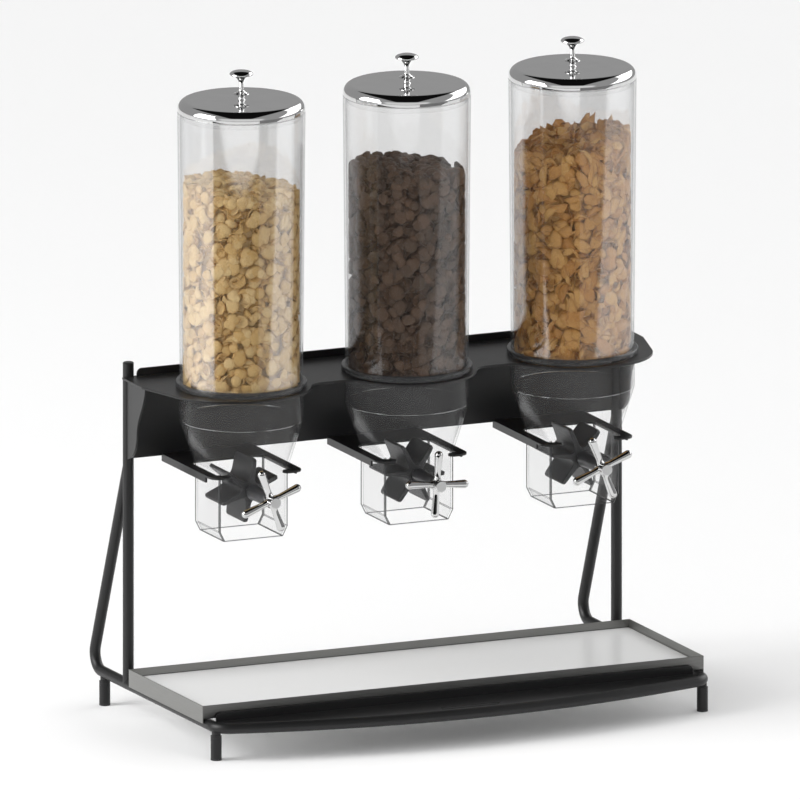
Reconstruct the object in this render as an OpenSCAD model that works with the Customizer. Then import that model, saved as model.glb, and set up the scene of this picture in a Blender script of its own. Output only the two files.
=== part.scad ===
// Counter-top dry-food dispenser: a bent-rod stand that carries three clear canisters,
// each with a funnel, a paddle wheel turned by a four-spoke handle, and a lift-off lid.
// +X is the right-hand end seen from the front, +Y is the back, +Z is up.

/* [Stand] */
// Distance from the end canisters' centre lines to the rear posts
post_reach = 93; // [90:1:110]
// Height of the post tops above the shelf
post_rise = 16; // [12:1:60]
// Diameter of the steel rod
rod_d = 12; // [10:0.1:14.5]
// Height of the rail centres above the table
rail_z = 36; // [30:1:44]
// Height at which the sloping side rods meet the posts
brace_z = 278; // [232:1:290]
// How far behind the posts the slopes would meet the rails
brace_reach = 96; // [80:1:120]
// Centre-line radius of the bends above the rear feet
rear_bend_r = 18; // [14:1:22]
// Centre-line radius of the two front corners
corner_r = 19; // [15:1:24]
// Distance from the posts to the front-most rod centre
bow_reach = 280; // [265:1:336]
// How far the middle of the shallow front bow stands ahead of its ends
bow_rise = 38.6; // [32:0.2:44]

/* [Feet] */
// Diameter of a foot
foot_d = 12; // [10:0.5:14]
// Diameter of the neck where a foot meets its rail
foot_neck_d = 9.6; // [8:0.2:10]
// Height of the neck below the underside of the rail
foot_neck_h = 3; // [2:0.5:5]
// Thickness of the rubber pad under a foot
foot_pad_h = 2; // [1:0.5:4]
// Distance of the rear feet behind the posts
rear_foot_y = 62; // [40:1:64]
// Turn of the front feet round the corner bends, in degrees
front_foot_turn = 20; // [10:1:35]
// Size of the bevel round the top of a post
post_bevel = 0.8; // [0.4:0.1:2]

/* [Sheet metal] */
// Thickness of the black sheet steel
sheet_t = 2.4; // [1.6:0.2:3]
// Height of the shelf's top face above the table
shelf_z = 377; // [366:1:460]
// How far the shelf stands past the posts at each end
shelf_side = 2; // [1:0.5:5]
// Length of the straight end edge of the shelf, from the posts
shelf_straight = 53; // [45:1:60]
// Width of the shelf rim round each hopper flange
lobe_rim = 4.6; // [3:0.2:8]
// How much wider the two end lobes are towards the ends
end_lobe_shift = 12.4; // [4:0.2:13]
// Distance of the valleys between the lobes in front of the canister line
valley_reach = 20; // [8:1:30]
// Radius of the curves that lead into the valleys
valley_fillet = 20; // [8:1:30]
// Height of the back panel's upstand above the shelf
upstand_h = 8; // [5:1:14]
// Gap between the upstand and each post
upstand_gap = 4; // [2:0.5:8]
// Radius of the upstand's top corners
upstand_r = 6; // [3:0.5:8]
// Height of the back panel below the shelf's top face
panel_drop = 91; // [80:1:96]
// Forward reach of a gusset's foot from the post centre
gusset_foot = 30; // [20:1:36]
// Forward reach of a gusset's head from the post centre
gusset_head = 52; // [40:1:53]
// Height of a gusset's rounded foot
gusset_foot_h = 33; // [25:1:45]

/* [Forks] */
// Width of a fork's arms beside the chute
fork_arm = 11.1; // [8:0.1:16]
// Clearance between a fork and the sides of the chute
fork_gap = 2.2; // [1:0.1:4]
// Clearance between a fork and the chute's back
fork_back_gap = 8.5; // [4:0.5:14]
// Clearance between the fork tips and the chute's front
fork_front_gap = 2.5; // [1.5:0.1:5]
// Front-to-back size of the fork tips
fork_tip = 11; // [8:0.5:14]
// Width of the open mouth between the fork tips
fork_mouth = 62; // [40:1:66]
// Height of the downturned flange on a fork's sides
fork_flange_h = 6; // [4:0.5:10]
// Distance of the flange's front end in front of the axle line
fork_flange_reach = 26; // [15:1:30]

/* [Canisters] */
// Distance between the canister centre lines
pitch = 196; // [163:1:240]
// Distance from the posts to the canister centre lines
canister_y = 91; // [86:1:108]
// Outer diameter of a clear tube at its foot
canister_foot_d = 133; // [112:0.5:160]
// Outer diameter of a clear tube at its top
canister_top_d = 138.5; // [112:0.5:160]
// Height of a clear tube
canister_h = 303; // [200:1:400]
// Wall of a clear tube
canister_wall = 2.6; // [2:0.1:4]

/* [Hopper] */
// Wall of the clear hopper
hopper_wall = 2.4; // [2:0.1:3.2]
// Width of the flange ring outside the tube
flange_w = 4.2; // [3:0.2:7]
// Height of the flange ring above the shelf
flange_h = 7; // [5:0.5:10]
// Thickness of the ledge the tube stands on
ledge_t = 2; // [1.5:0.1:3]
// Radial clearance round the foot of the tube
seat_gap = 0.3; // [0.2:0.05:0.8]
// Height of the round part below the shelf's top face
collar_h = 36; // [25:1:42]
// Height of the funnel from round to square
funnel_h = 53; // [40:1:60]
// Width of the square chute, side to side
chute_w = 82; // [68:1:100]
// Depth of the square chute, front to back
chute_d = 65; // [56:1:70]
// Height of the straight chute
chute_h = 63.4; // [55:0.2:76]
// Height of the tapered lip at the chute's mouth
lip_h = 10.6; // [6:0.2:14]
// How far each side of the lip leans inwards
lip_lean = 5.4; // [2:0.2:8]

/* [Portion wheel] */
// Depth of the axle below the top of the chute
axle_drop = 22.4; // [18:0.2:26]
// Diameter of the axle in its bushes
axle_d = 7; // [5:0.5:8]
// Radial clearance of the axle in its bushes
axle_play = 0.05; // [0.02:0.01:0.1]
// Number of paddles on a wheel
paddles = 6; // [4:1:8]
// Clearance between the paddle tips and the chute
paddle_gap = 3; // [1.5:0.1:6]
// Clearance between the wheel's sides and the chute
wheel_side_gap = 5.6; // [4.5:0.1:9]
// Diameter of the wheel's hub
wheel_hub_d = 20; // [16:1:24]
// Thickness of a paddle at its root
paddle_root_t = 7; // [5:0.5:8]
// Thickness of a paddle at its tip
paddle_tip_t = 4; // [3:0.5:5]
// Radius of the paddles' outer corners
paddle_corner_r = 5; // [2:0.5:8]
// Diameter of a bush where it passes through the chute wall
bush_d = 12; // [10:0.5:14]
// Diameter of the front bush's sleeve beside the chute
sleeve_root_d = 17; // [15:0.5:20]
// Diameter of the sleeve beside the handle
sleeve_tip_d = 13; // [10:0.5:15]
// Thickness of the bush heads inside the chute and of the rear bush's head
bush_head_t = 2; // [1:0.5:3]
// Thickness of the clip on the rear end of the axle
clip_t = 2; // [1:0.5:3]

/* [Handle] */
// Distance from the chute's front to the plane of the spokes
spoke_reach = 46.5; // [30:0.5:60]
// Radius of the handle at the spoke tips
handle_r = 37; // [28:0.5:44]
// Diameter of the handle's hub
handle_hub_d = 12.4; // [11:0.2:16]
// Length of the hub behind the spokes
hub_back = 7; // [5:0.5:10]
// Length of the hub in front of the spokes
hub_front = 12.6; // [6:0.2:16]
// Thickness of a spoke beside the hub
spoke_root_d = 4.8; // [4:0.2:6]
// Thickness of a spoke at its tip
spoke_tip_d = 8.2; // [6:0.2:10]
// Running gap between a hub and its sleeve
hub_gap = 0.5; // [0.3:0.1:1]
// Resting turn of the left handle, in degrees
left_turn = 20.7; // [-90:0.1:90]
// Resting turn of the middle handle, in degrees
middle_turn = -4; // [-90:0.1:90]
// Resting turn of the right handle, in degrees
right_turn = -68; // [-90:0.1:90]

/* [Lid and knob] */
// Height of a lid above the tube
lid_h = 12; // [8:0.5:20]
// Radius of the lid's rounded shoulder
lid_shoulder_r = 9.5; // [4:0.5:11]
// Thickness of the lid's metal
lid_t = 1.2; // [0.8:0.1:1.6]
// Depth of the plug ring inside the tube
plug_h = 7; // [4:0.5:14]
// Radial clearance of the plug ring inside the tube
plug_gap = 0.6; // [0.3:0.1:1.2]
// Height of the knob above the lid
knob_h = 33; // [24:1:50]
// Diameter of the knob's cap
knob_d = 26; // [20:0.5:34]
// Diameter of the knob's flared collar
knob_flare_d = 18; // [14:0.5:22]
// Diameter of the knob's slender neck
knob_neck_d = 6.4; // [6:0.2:9]
// Diameter of the screw that holds the knob
screw_d = 4; // [3:0.5:4.5]

/* [Tray] */
// Front-to-back size of the crumb tray
tray_d = 195; // [150:1:200]
// Gap between the tray and the posts
tray_back_gap = 12; // [6:1:20]
// Depth of the tray inside
tray_depth = 9; // [6:0.5:16]
// Thickness of the tray's metal
tray_t = 1; // [0.8:0.1:1.5]
// Height of the tray's front and back walls
tray_wall_h = 14.7; // [11:0.1:20]
// How much lower the tray's side skirts hang
skirt_drop = 5; // [3:0.5:8]
// Clearance between the skirts and the rails
skirt_gap = 0.6; // [0.4:0.1:1.5]
// Clearance between the tray walls and the top of the rails
tray_seat_gap = 0.3; // [0.2:0.05:0.6]

/* [Fascia] */
// Height of the fascia's top face above the rail centres
fascia_rise = 3; // [2.6:0.1:4.5]
// Gap between the tray and the fascia's upturned lip
fascia_gap = 1.5; // [1:0.1:4]
// Height of the upturned lip above the fascia
fascia_lip_h = 9.6; // [5:0.2:14]
// Radius of the lip's top corners
fascia_lip_r = 5; // [2:0.5:8]
// Length of the plain oblong groove on the fascia
groove_w = 70; // [30:1:120]
// Height of that groove's outline
groove_h = 9; // [6:0.5:14]
// Width of the groove's line
groove_line = 1.4; // [0.8:0.1:2]
// Depth of the groove
groove_depth = 0.5; // [0.3:0.1:1]

/* [Hidden] */
$fn = 64;

// Colours of the real finishes
BLACK = [0.10, 0.10, 0.11];
SHEET_BLACK = [0.16, 0.16, 0.17];
RUBBER = [0.07, 0.07, 0.07];
STEEL = [0.72, 0.71, 0.69];
CHROME = [0.85, 0.86, 0.88];
CLEAR = [0.85, 0.90, 0.93, 0.35];

// How far a cutting shape runs past what it cuts
past = 1;
// How much thinner the rod is in a bend, and how far a bend runs into a straight, in degrees
bend_thinning = 0.03;
bend_lap = 0.1;

// Stand
rod_r = rod_d / 2;
post_x = pitch + post_reach;
post_h = shelf_z + post_rise;
brace_tilt = atan(brace_reach / (brace_z - rail_z));
bend_turn = 90 + brace_tilt;
bend_cut = rear_bend_r * tan(bend_turn / 2);
bend_y = brace_reach - bend_cut;
bend_z = rail_z + rear_bend_r;
slope_h = sqrt(pow(brace_reach, 2) + pow(brace_z - rail_z, 2)) - bend_cut;
corner_x = post_x - corner_r;
corner_y = corner_r + bow_rise - bow_reach;
bow_inner_r = (pow(corner_x, 2) + pow(bow_rise, 2)) / (2 * bow_rise);
bow_r = bow_inner_r + corner_r;
bow_cy = bow_r - bow_reach;
bow_half = asin(corner_x / bow_inner_r);
corner_turn = 90 - bow_half;

// The origin is on the table under the middle of the stand, so the posts lie behind it
rear_edge = bend_y + rear_bend_r + rod_r;
front_edge = -bow_reach - rod_r;
post_y = -(rear_edge + front_edge) / 2;

// Feet, as places beside the post plane
front_foot_x = corner_x + corner_r * cos(front_foot_turn);
front_foot_y = corner_y - corner_r * sin(front_foot_turn);
FOOT_PLACES = [
    [-post_x, rear_foot_y], [post_x, rear_foot_y],
    [-front_foot_x, front_foot_y], [front_foot_x, front_foot_y]
];

// Sheet metal
shelf_half = post_x + rod_r + shelf_side;
panel_z = shelf_z - panel_drop;
shelf_under = shelf_z - sheet_t;
seat_r = canister_foot_d / 2 + seat_gap;
flange_r = seat_r + flange_w;
lobe_r = flange_r + lobe_rim;
valley_room = (pow(pitch / 2, 2) - pow(lobe_r, 2) + pow(valley_reach, 2)) / (2 * (lobe_r - valley_reach));
fillet_r = min(valley_fillet, valley_room);
fillet_x = sqrt(pow(lobe_r + fillet_r, 2) - pow(valley_reach + fillet_r, 2));
end_lobe_x = pitch + end_lobe_shift;
fork_half = chute_w / 2 + fork_gap + fork_arm;

// Hopper and chute
collar_r = canister_foot_d / 2 + 0.8;
collar_play = 0.4;
collar_z = shelf_z - collar_h;
chute_top = collar_z - funnel_h;
lip_top = chute_top - chute_h;
mouth_z = lip_top - lip_h;
seat_z = shelf_z + ledge_t;
axle_z = chute_top - axle_drop;
front_face = -chute_d / 2;
inner_half_d = chute_d / 2 - hopper_wall;
// The walls of the funnel join in round stretches of this many sides
funnel_sides = 48;

// Wheel, axle and handle
paddle_r = chute_w / 2 - hopper_wall - paddle_gap;
wheel_half = inner_half_d - wheel_side_gap;
axle_bore_d = axle_d + 2 * axle_play;
bush_play = 0.05;
key_play = 0.05;
key_w = axle_d + 1;
shoulder_gap = 0.4;
key_half = inner_half_d - bush_head_t - shoulder_gap;
spoke_y = front_face - spoke_reach;
hub_rear_y = spoke_y + hub_back;
hub_front_y = spoke_y - hub_front;
hub_wall = 3;
sleeve_end_y = hub_rear_y + hub_gap;
rear_face = chute_d / 2;
clip_y = rear_face + bush_head_t + shoulder_gap;
axle_rear_y = clip_y + clip_t + past;

// Lid and knob
canister_top_z = seat_z + canister_h;
lid_top_z = canister_top_z + lid_h;
lid_r = canister_top_d / 2;
canister_mouth_r = lid_r - canister_wall;
plug_r = canister_mouth_r - plug_gap;
plug_t = 1.6;
screw_head_d = screw_d * 2;
screw_head_h = 2.6;
screw_bite = 12;
screw_play = 0.1;

// Tray and fascia
tray_half = post_x + rod_r + skirt_gap + tray_t;
tray_back = -rod_r - tray_back_gap;
tray_front = tray_back - tray_d;
tray_low = rail_z + rod_r + tray_seat_gap;
tray_top = tray_low + tray_wall_h;
tray_floor = tray_top - tray_depth;
fascia_top = rail_z + fascia_rise;
fascia_low = fascia_top - sheet_t;
fascia_inset = sqrt(pow(rod_r, 2) - pow(fascia_low - rail_z, 2));
fascia_back = tray_front - fascia_gap;
fascia_half = post_x - fascia_inset;
groove_y = -bow_reach + rod_r + 16;

// Points along an arc about c, with n steps from angle a to angle b
function arc(c, r, a, b, n) = [
    for (i = [0 : n]) c + r * [cos(a + (b - a) * i / n), sin(a + (b - a) * i / n)]
];

// Moves what follows from the post plane to the model's own frame
module stand_frame() {
    translate([0, post_y, 0])
        children();
}

// Moves what follows to one canister's centre line: side is -1, 0 or 1
module at_canister(side) {
    translate([side * pitch, post_y - canister_y, 0])
        children();
}

// ---- Bent steel rod ----

// A bend in the plane Z = 0, from the +X axis through a turn, a hair thinner than the
// straights it runs into, as a real bend is; lap is how far it runs past its start, in degrees
module rod_bend(r, turn, lap) {
    rotate([0, 0, -lap])
        rotate_extrude(angle = turn + lap + bend_lap)
            translate([r, 0])
                circle(r = rod_r - bend_thinning, $fn = 48);
}

// One side in the plane X = 0: slope, bend and rail
module side_sweep() {
    translate([0, 0, brace_z])
        rotate([180 + brace_tilt, 0, 0])
            cylinder(h = slope_h, r = rod_r);
    translate([0, bend_y, bend_z])
        rotate([90, 0, 90])
            rotate([0, 0, -90])
                rod_bend(rear_bend_r, bend_turn, bend_lap);
    translate([0, bend_y, rail_z])
        rotate([90, 0, 0])
            cylinder(h = bend_y - corner_y, r = rod_r);
}

// The shallow bow with its two corners
module bow_sweep() {
    translate([0, bow_cy, rail_z])
        rotate([0, 0, -90 - bow_half])
            rotate_extrude(angle = 2 * bow_half, $fn = 240)
                translate([bow_r, 0])
                    circle(r = rod_r, $fn = 48);
    for (side = [0, 1])
        mirror([side, 0, 0])
            translate([corner_x, corner_y, rail_z])
                mirror([0, 1, 0])
                    rod_bend(corner_r, corner_turn, 0);
}

module side_rail(side) {
    color(BLACK)
        stand_frame()
            translate([side * post_x, 0, 0])
                difference() {
                    side_sweep();
                    translate([0, 0, brace_z - 4 * rod_d])
                        cylinder(h = 8 * rod_d, r = rod_r);
                }
}

module post(side) {
    color(BLACK)
        stand_frame()
            translate([side * post_x, 0, 0])
                difference() {
                    union() {
                        translate([0, 0, rail_z])
                            cylinder(h = post_h - post_bevel - rail_z, r = rod_r);
                        translate([0, 0, post_h - post_bevel])
                            cylinder(h = post_bevel, r1 = rod_r, r2 = rod_r - post_bevel);
                    }
                    translate([0, rod_d, rail_z])
                        rotate([90, 0, 0])
                            cylinder(h = 2 * rod_d, r = rod_r);
                }
}

module left_side_rail() side_rail(-1);
module right_side_rail() side_rail(1);
module left_post() post(-1);
module right_post() post(1);

module front_bow() {
    color(BLACK)
        stand_frame()
            bow_sweep();
}

module feet() {
    color(BLACK)
        stand_frame()
            difference() {
                for (place = FOOT_PLACES)
                    translate([place.x, place.y, foot_pad_h]) {
                        cylinder(h = rail_z - rod_r - foot_neck_h - foot_pad_h, d = foot_d);
                        cylinder(h = rail_z - rod_r / 2 - foot_pad_h, d = foot_neck_d);
                    }
                for (side = [-1, 1])
                    translate([side * post_x, 0, 0])
                        side_sweep();
                bow_sweep();
            }
}

module foot_pads() {
    color(RUBBER)
        stand_frame()
            for (place = FOOT_PLACES)
                translate([place.x, place.y, 0])
                    cylinder(h = foot_pad_h, d = foot_d);
}

// ---- Black sheet metal ----

module post_pair(r, low, high) {
    for (side = [-1, 1])
        translate([side * post_x, 0, low])
            cylinder(h = high - low, r = r);
}

// Upright panel between the posts, with a round-cornered upstand above the shelf
module back_panel() {
    upstand_half = post_x - rod_r - upstand_gap;
    color(SHEET_BLACK)
        stand_frame()
            difference() {
                translate([0, sheet_t / 2, 0])
                    rotate([90, 0, 0])
                        linear_extrude(sheet_t) {
                            translate([-post_x, panel_z])
                                square([2 * post_x, panel_drop]);
                            translate([-upstand_half, shelf_z - past])
                                square([2 * upstand_half, upstand_h - upstand_r + past]);
                            translate([-upstand_half + upstand_r, shelf_z - past])
                                square([2 * (upstand_half - upstand_r), upstand_h + past]);
                            for (side = [-1, 1])
                                translate([side * (upstand_half - upstand_r), shelf_z + upstand_h - upstand_r])
                                    circle(r = upstand_r);
                        }
                post_pair(rod_r, panel_z - past, shelf_z + upstand_h + past);
            }
}

// Right half of the shelf's front edge, from the middle lobe to the end corner
function shelf_half_edge() =
    let (
        lobe_line = -canister_y,
        hollow_y = lobe_line - valley_reach - fillet_r,
        lean = asin((valley_reach + fillet_r) / (lobe_r + fillet_r)),
        corner = [shelf_half, -shelf_straight],
        end_lobe = [end_lobe_x, lobe_line],
        reach = norm(corner - end_lobe),
        touch = atan2(corner.y - end_lobe.y, corner.x - end_lobe.x) - acos(lobe_r / reach)
    )
    concat(
        arc([0, lobe_line], lobe_r, -90, -lean, 20),
        arc([fillet_x, hollow_y], fillet_r, 180 - lean, 90, 8),
        arc([pitch - fillet_x, hollow_y], fillet_r, 90, lean, 8),
        arc([pitch, lobe_line], lobe_r, 180 + lean, 270, 20),
        arc(end_lobe, lobe_r, -90, touch, 20),
        [corner, [shelf_half, -sheet_t / 2]]
    );

module shelf_outline() {
    edge = shelf_half_edge();
    mirrored = [for (i = [len(edge) - 1 : -1 : 1]) [-edge[i].x, edge[i].y]];
    polygon(concat(edge, mirrored));
}

module shelf_plate() {
    color(SHEET_BLACK)
        stand_frame()
            difference() {
                translate([0, 0, shelf_under])
                    linear_extrude(sheet_t)
                        shelf_outline();
                for (column = [-1 : 1])
                    translate([column * pitch, -canister_y, shelf_under - past])
                        cylinder(h = sheet_t + 2 * past, r = collar_r + collar_play);
                post_pair(rod_r, shelf_under - past, shelf_z + past);
            }
}

// Upright end plate: its front edge is a quarter ellipse below and an S-curve above
module gusset(side) {
    waist_z = panel_z + gusset_foot_h;
    foot_edge = [
        for (i = [0 : 10])
            [-gusset_foot * sin(9 * i), waist_z - gusset_foot_h * cos(9 * i)]
    ];
    head_edge = [
        for (i = [1 : 12])
            let (t = i / 12)
                [-gusset_foot - (gusset_head - gusset_foot) * t * t * (3 - 2 * t),
                 waist_z + (shelf_under - waist_z) * t]
    ];
    color(SHEET_BLACK)
        stand_frame()
            difference() {
                translate([side * (post_x + sheet_t) - sheet_t / 2, 0, 0])
                    rotate([90, 0, 90])
                        linear_extrude(sheet_t)
                            polygon(concat(foot_edge, head_edge, [[0, shelf_under]]));
                post_pair(rod_r, panel_z - past, shelf_z);
            }
}

module left_gusset() gusset(-1);
module right_gusset() gusset(1);

// Half of a fork's outline, on the +X side of the chute
function fork_half_outline() =
    let (
        half = fork_half,
        slot = chute_w / 2 + fork_gap,
        root = canister_y - sheet_t / 2,
        inner = front_face - fork_front_gap,
        tip = inner - fork_tip,
        nose = fork_tip / 2,
        back = chute_d / 2 + fork_back_gap,
        outer_r = min(fork_tip + 1, half - slot + fork_tip / 2)
    )
    concat(
        [[0, root], [half, root]],
        arc([half - outer_r, tip + outer_r], outer_r, 0, -90, 8),
        arc([fork_mouth / 2 + nose, tip + nose], nose, -90, -270, 10),
        arc([slot - 5, inner + 5], 5, -90, 0, 5),
        arc([slot - 12, back - 12], 12, 0, 90, 6),
        [[0, back]]
    );

module fork(side) {
    root = canister_y - sheet_t / 2;
    color(SHEET_BLACK)
        at_canister(side)
            for (hand = [0, 1])
                mirror([hand, 0, 0]) {
                    translate([0, 0, panel_z])
                        linear_extrude(sheet_t)
                            polygon(fork_half_outline());
                    translate([fork_half - sheet_t, -fork_flange_reach, panel_z - fork_flange_h])
                        cube([sheet_t, root + fork_flange_reach, fork_flange_h + sheet_t / 2]);
                }
}

module left_fork() fork(-1);
module middle_fork() fork(0);
module right_fork() fork(1);

// Right half of the fascia's edge, from its rear corner round to the middle of the bow
function fascia_half_edge() =
    let (
        inner_r = corner_r - fascia_inset,
        front_edge_r = bow_r - fascia_inset,
        step = bow_half / 60
    )
    concat(
        [[fascia_half, fascia_back]],
        arc([corner_x, corner_y], inner_r, 0, -corner_turn, 16),
        arc([0, bow_cy], front_edge_r, bow_half - 90 - step, -90, 59)
    );

module fascia_outline() {
    edge = fascia_half_edge();
    mirrored = [for (i = [len(edge) - 2 : -1 : 0]) [-edge[i].x, edge[i].y]];
    polygon(concat(edge, mirrored));
}

module oblong(w, h, line) {
    for (side = [-1, 1])
        translate([side * (w - h) / 2, 0])
            circle(d = h - 2 * line);
    translate([-(w - h) / 2, -h / 2 + line])
        square([w - h, h - 2 * line]);
}

// Crescent-shaped plate between the tray and the bow, with an upturned rear lip
module fascia_plate() {
    lip_half = fascia_half - 1;
    lip_top_z = fascia_top + fascia_lip_h;
    color(SHEET_BLACK)
        stand_frame() {
            difference() {
                translate([0, 0, fascia_low])
                    linear_extrude(sheet_t)
                        fascia_outline();
                translate([0, groove_y, fascia_top - groove_depth])
                    linear_extrude(sheet_t)
                        difference() {
                            oblong(groove_w, groove_h, 0);
                            oblong(groove_w, groove_h, groove_line);
                        }
            }
            translate([0, fascia_back, 0])
                rotate([90, 0, 0])
                    linear_extrude(sheet_t) {
                        translate([-lip_half, fascia_low])
                            square([2 * lip_half, lip_top_z - fascia_lip_r - fascia_low]);
                        translate([-lip_half + fascia_lip_r, fascia_low])
                            square([2 * (lip_half - fascia_lip_r), lip_top_z - fascia_low]);
                        for (side = [-1, 1])
                            translate([side * (lip_half - fascia_lip_r), lip_top_z - fascia_lip_r])
                                circle(r = fascia_lip_r);
                    }
        }
}

// ---- Crumb tray ----

// Shallow tray whose front and back walls rest on the rails and whose sides hang outside them
module crumb_tray() {
    inner_half = tray_half - tray_t;
    under = tray_floor - tray_t;
    color(STEEL)
        stand_frame()
            difference() {
                translate([-tray_half, tray_front, tray_low - skirt_drop])
                    cube([2 * tray_half, tray_d, tray_wall_h + skirt_drop]);
                translate([-inner_half, tray_front + tray_t, tray_floor])
                    cube([2 * inner_half, tray_d - 2 * tray_t, tray_depth + past]);
                translate([-inner_half, tray_front + tray_t, tray_low - skirt_drop - past])
                    cube([2 * inner_half, tray_d - 2 * tray_t, under - tray_low + skirt_drop + past]);
                translate([-inner_half, tray_front - past, tray_low - skirt_drop - past])
                    cube([2 * inner_half, tray_d + 2 * past, skirt_drop + past]);
            }
}

// ---- Hopper and clear tube ----

// Side view of the chute and its tapered lip, w narrower on each side
module chute_side(w) {
    half = chute_w / 2 - w;
    polygon([
        [half, chute_top], [half, lip_top], [half - lip_lean, mouth_z],
        [lip_lean - half, mouth_z], [-half, lip_top], [-half, chute_top]
    ]);
}

module chute_block(w, over) {
    translate([0, chute_d / 2 - w, 0])
        rotate([90, 0, 0])
            linear_extrude(chute_d - 2 * w) {
                chute_side(w);
                translate([-(chute_w / 2 - w - lip_lean), mouth_z - over])
                    square([chute_w - 2 * w - 2 * lip_lean, lip_h]);
            }
}

// Round above and square below, w thinner on every side
module funnel(w) {
    hull() {
        translate([0, 0, collar_z])
            cylinder(h = 0.01, r = collar_r - w, $fn = funnel_sides);
        translate([-chute_w / 2 + w, -chute_d / 2 + w, chute_top])
            cube([chute_w - 2 * w, chute_d - 2 * w, 0.01]);
    }
}

module hopper(side) {
    inner_r = collar_r - hopper_wall;
    color(CLEAR)
        at_canister(side)
            difference() {
                union() {
                    translate([0, 0, shelf_z])
                        cylinder(h = flange_h, r = flange_r, $fn = 128);
                    translate([0, 0, collar_z])
                        cylinder(h = collar_h + ledge_t, r = collar_r, $fn = 128);
                    funnel(0);
                    chute_block(0, 0);
                }
                translate([0, 0, seat_z])
                    cylinder(h = flange_h, r = seat_r, $fn = 128);
                translate([0, 0, collar_z])
                    cylinder(h = collar_h + flange_h, r = inner_r, $fn = 128);
                funnel(hopper_wall);
                chute_block(hopper_wall, past);
                translate([0, chute_d, axle_z])
                    rotate([90, 0, 0])
                        cylinder(h = 2 * chute_d, d = bush_d + 2 * bush_play);
            }
}

module left_hopper() hopper(-1);
module middle_hopper() hopper(0);
module right_hopper() hopper(1);

module canister(side) {
    color(CLEAR)
        at_canister(side)
            translate([0, 0, seat_z])
                difference() {
                    cylinder(h = canister_h, d1 = canister_foot_d, d2 = canister_top_d, $fn = 128);
                    cylinder(
                        h = canister_h,
                        r1 = canister_foot_d / 2 - canister_wall,
                        r2 = canister_mouth_r,
                        $fn = 128
                    );
                }
}

module left_canister() canister(-1);
module middle_canister() canister(0);
module right_canister() canister(1);

// ---- Lid ----

// Pressed metal cap with a rounded shoulder and a plug ring that drops into the tube
module lid(side) {
    crown = lid_r - lid_shoulder_r;
    shoulder_z = lid_h - lid_shoulder_r;
    color(CHROME)
        at_canister(side)
            translate([0, 0, canister_top_z])
                difference() {
                    rotate_extrude($fn = 128)
                        difference() {
                            union() {
                                square([lid_r, shoulder_z]);
                                square([crown, lid_h]);
                                translate([crown, shoulder_z])
                                    intersection() {
                                        circle(r = lid_shoulder_r);
                                        square(lid_shoulder_r);
                                    }
                                translate([plug_r - plug_t, -plug_h])
                                    square([plug_t, plug_h + shoulder_z]);
                            }
                            square([crown, lid_h - lid_t]);
                            square([plug_r - plug_t, shoulder_z]);
                            translate([crown, shoulder_z])
                                intersection() {
                                    circle(r = lid_shoulder_r - lid_t);
                                    square([plug_r - plug_t - crown, lid_shoulder_r]);
                                }
                        }
                    cylinder(h = lid_h + past, d = screw_d + 2 * screw_play);
                }
}

module left_lid() lid(-1);
module middle_lid() lid(0);
module right_lid() lid(1);

// Turned knob: foot, flared collar, hollow neck and mushroom cap
function knob_profile() =
    let (
        flare_z = 0.16 * knob_h,
        neck_z = 0.44 * knob_h,
        neck_end_z = 0.70 * knob_h,
        cap_r = knob_d / 2,
        cap_z = 0.78 * knob_h,
        neck_r = knob_neck_d / 2,
        flare_r = knob_flare_d / 2
    )
    concat(
        [[0, 0], [neck_r + 0.8, 0]],
        [for (i = [0 : 6]) let (t = i / 6) [neck_r + 0.8 + (flare_r - neck_r - 0.8) * t * t, flare_z * t]],
        [[flare_r, flare_z + 1.2]],
        [
            for (i = [1 : 9])
                let (t = i / 9)
                    [neck_r + (flare_r - neck_r) * pow(1 - t, 3), flare_z + 1.2 + (neck_z - flare_z - 1.2) * t]
        ],
        [[neck_r, neck_end_z]],
        [
            for (i = [1 : 6])
                let (t = i / 6)
                    [neck_r + (cap_r - 1.2 - neck_r) * t * t, neck_end_z + (cap_z - neck_end_z) * t]
        ],
        [for (i = [0 : 12]) [cap_r * cos(7.5 * i), cap_z + 1 + (knob_h - cap_z - 1) * sin(7.5 * i)]]
    );

module knob(side) {
    color(CHROME)
        at_canister(side)
            translate([0, 0, lid_top_z])
                difference() {
                    rotate_extrude()
                        polygon(knob_profile());
                    translate([0, 0, -past])
                        cylinder(h = screw_bite + 2 * past, d = screw_d + 2 * screw_play);
                }
}

module left_knob() knob(-1);
module middle_knob() knob(0);
module right_knob() knob(1);

// Screw that comes up through the lid into the knob
module knob_screw(side) {
    color(STEEL)
        at_canister(side)
            translate([0, 0, lid_top_z - lid_t]) {
                translate([0, 0, -screw_head_h])
                    cylinder(h = screw_head_h, d = screw_head_d);
                cylinder(h = lid_t + screw_bite, d = screw_d);
            }
}

module left_knob_screw() knob_screw(-1);
module middle_knob_screw() knob_screw(0);
module right_knob_screw() knob_screw(1);

// ---- Portion wheel, axle and handle ----

// A rod of radius r along Y, from y = a forwards to y = b
module axle_rod(r, a, b) {
    translate([0, a, 0])
        rotate([90, 0, 0])
            cylinder(h = a - b, r = r);
}

// Moves what follows to the axle and gives it the handle's resting turn
module on_axle(side, turn) {
    at_canister(side)
        translate([0, 0, axle_z])
            rotate([0, -turn, 0])
                children();
}

module wheel_outline() {
    tip_r = paddle_tip_t / 2;
    reach = paddle_r - tip_r;
    circle(d = wheel_hub_d);
    for (i = [0 : paddles - 1])
        rotate(360 * i / paddles) {
            polygon([
                [0, -paddle_root_t / 2], [reach, -tip_r],
                [reach, tip_r], [0, paddle_root_t / 2]
            ]);
            translate([reach, 0])
                circle(r = tip_r, $fn = 32);
        }
}

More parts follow.
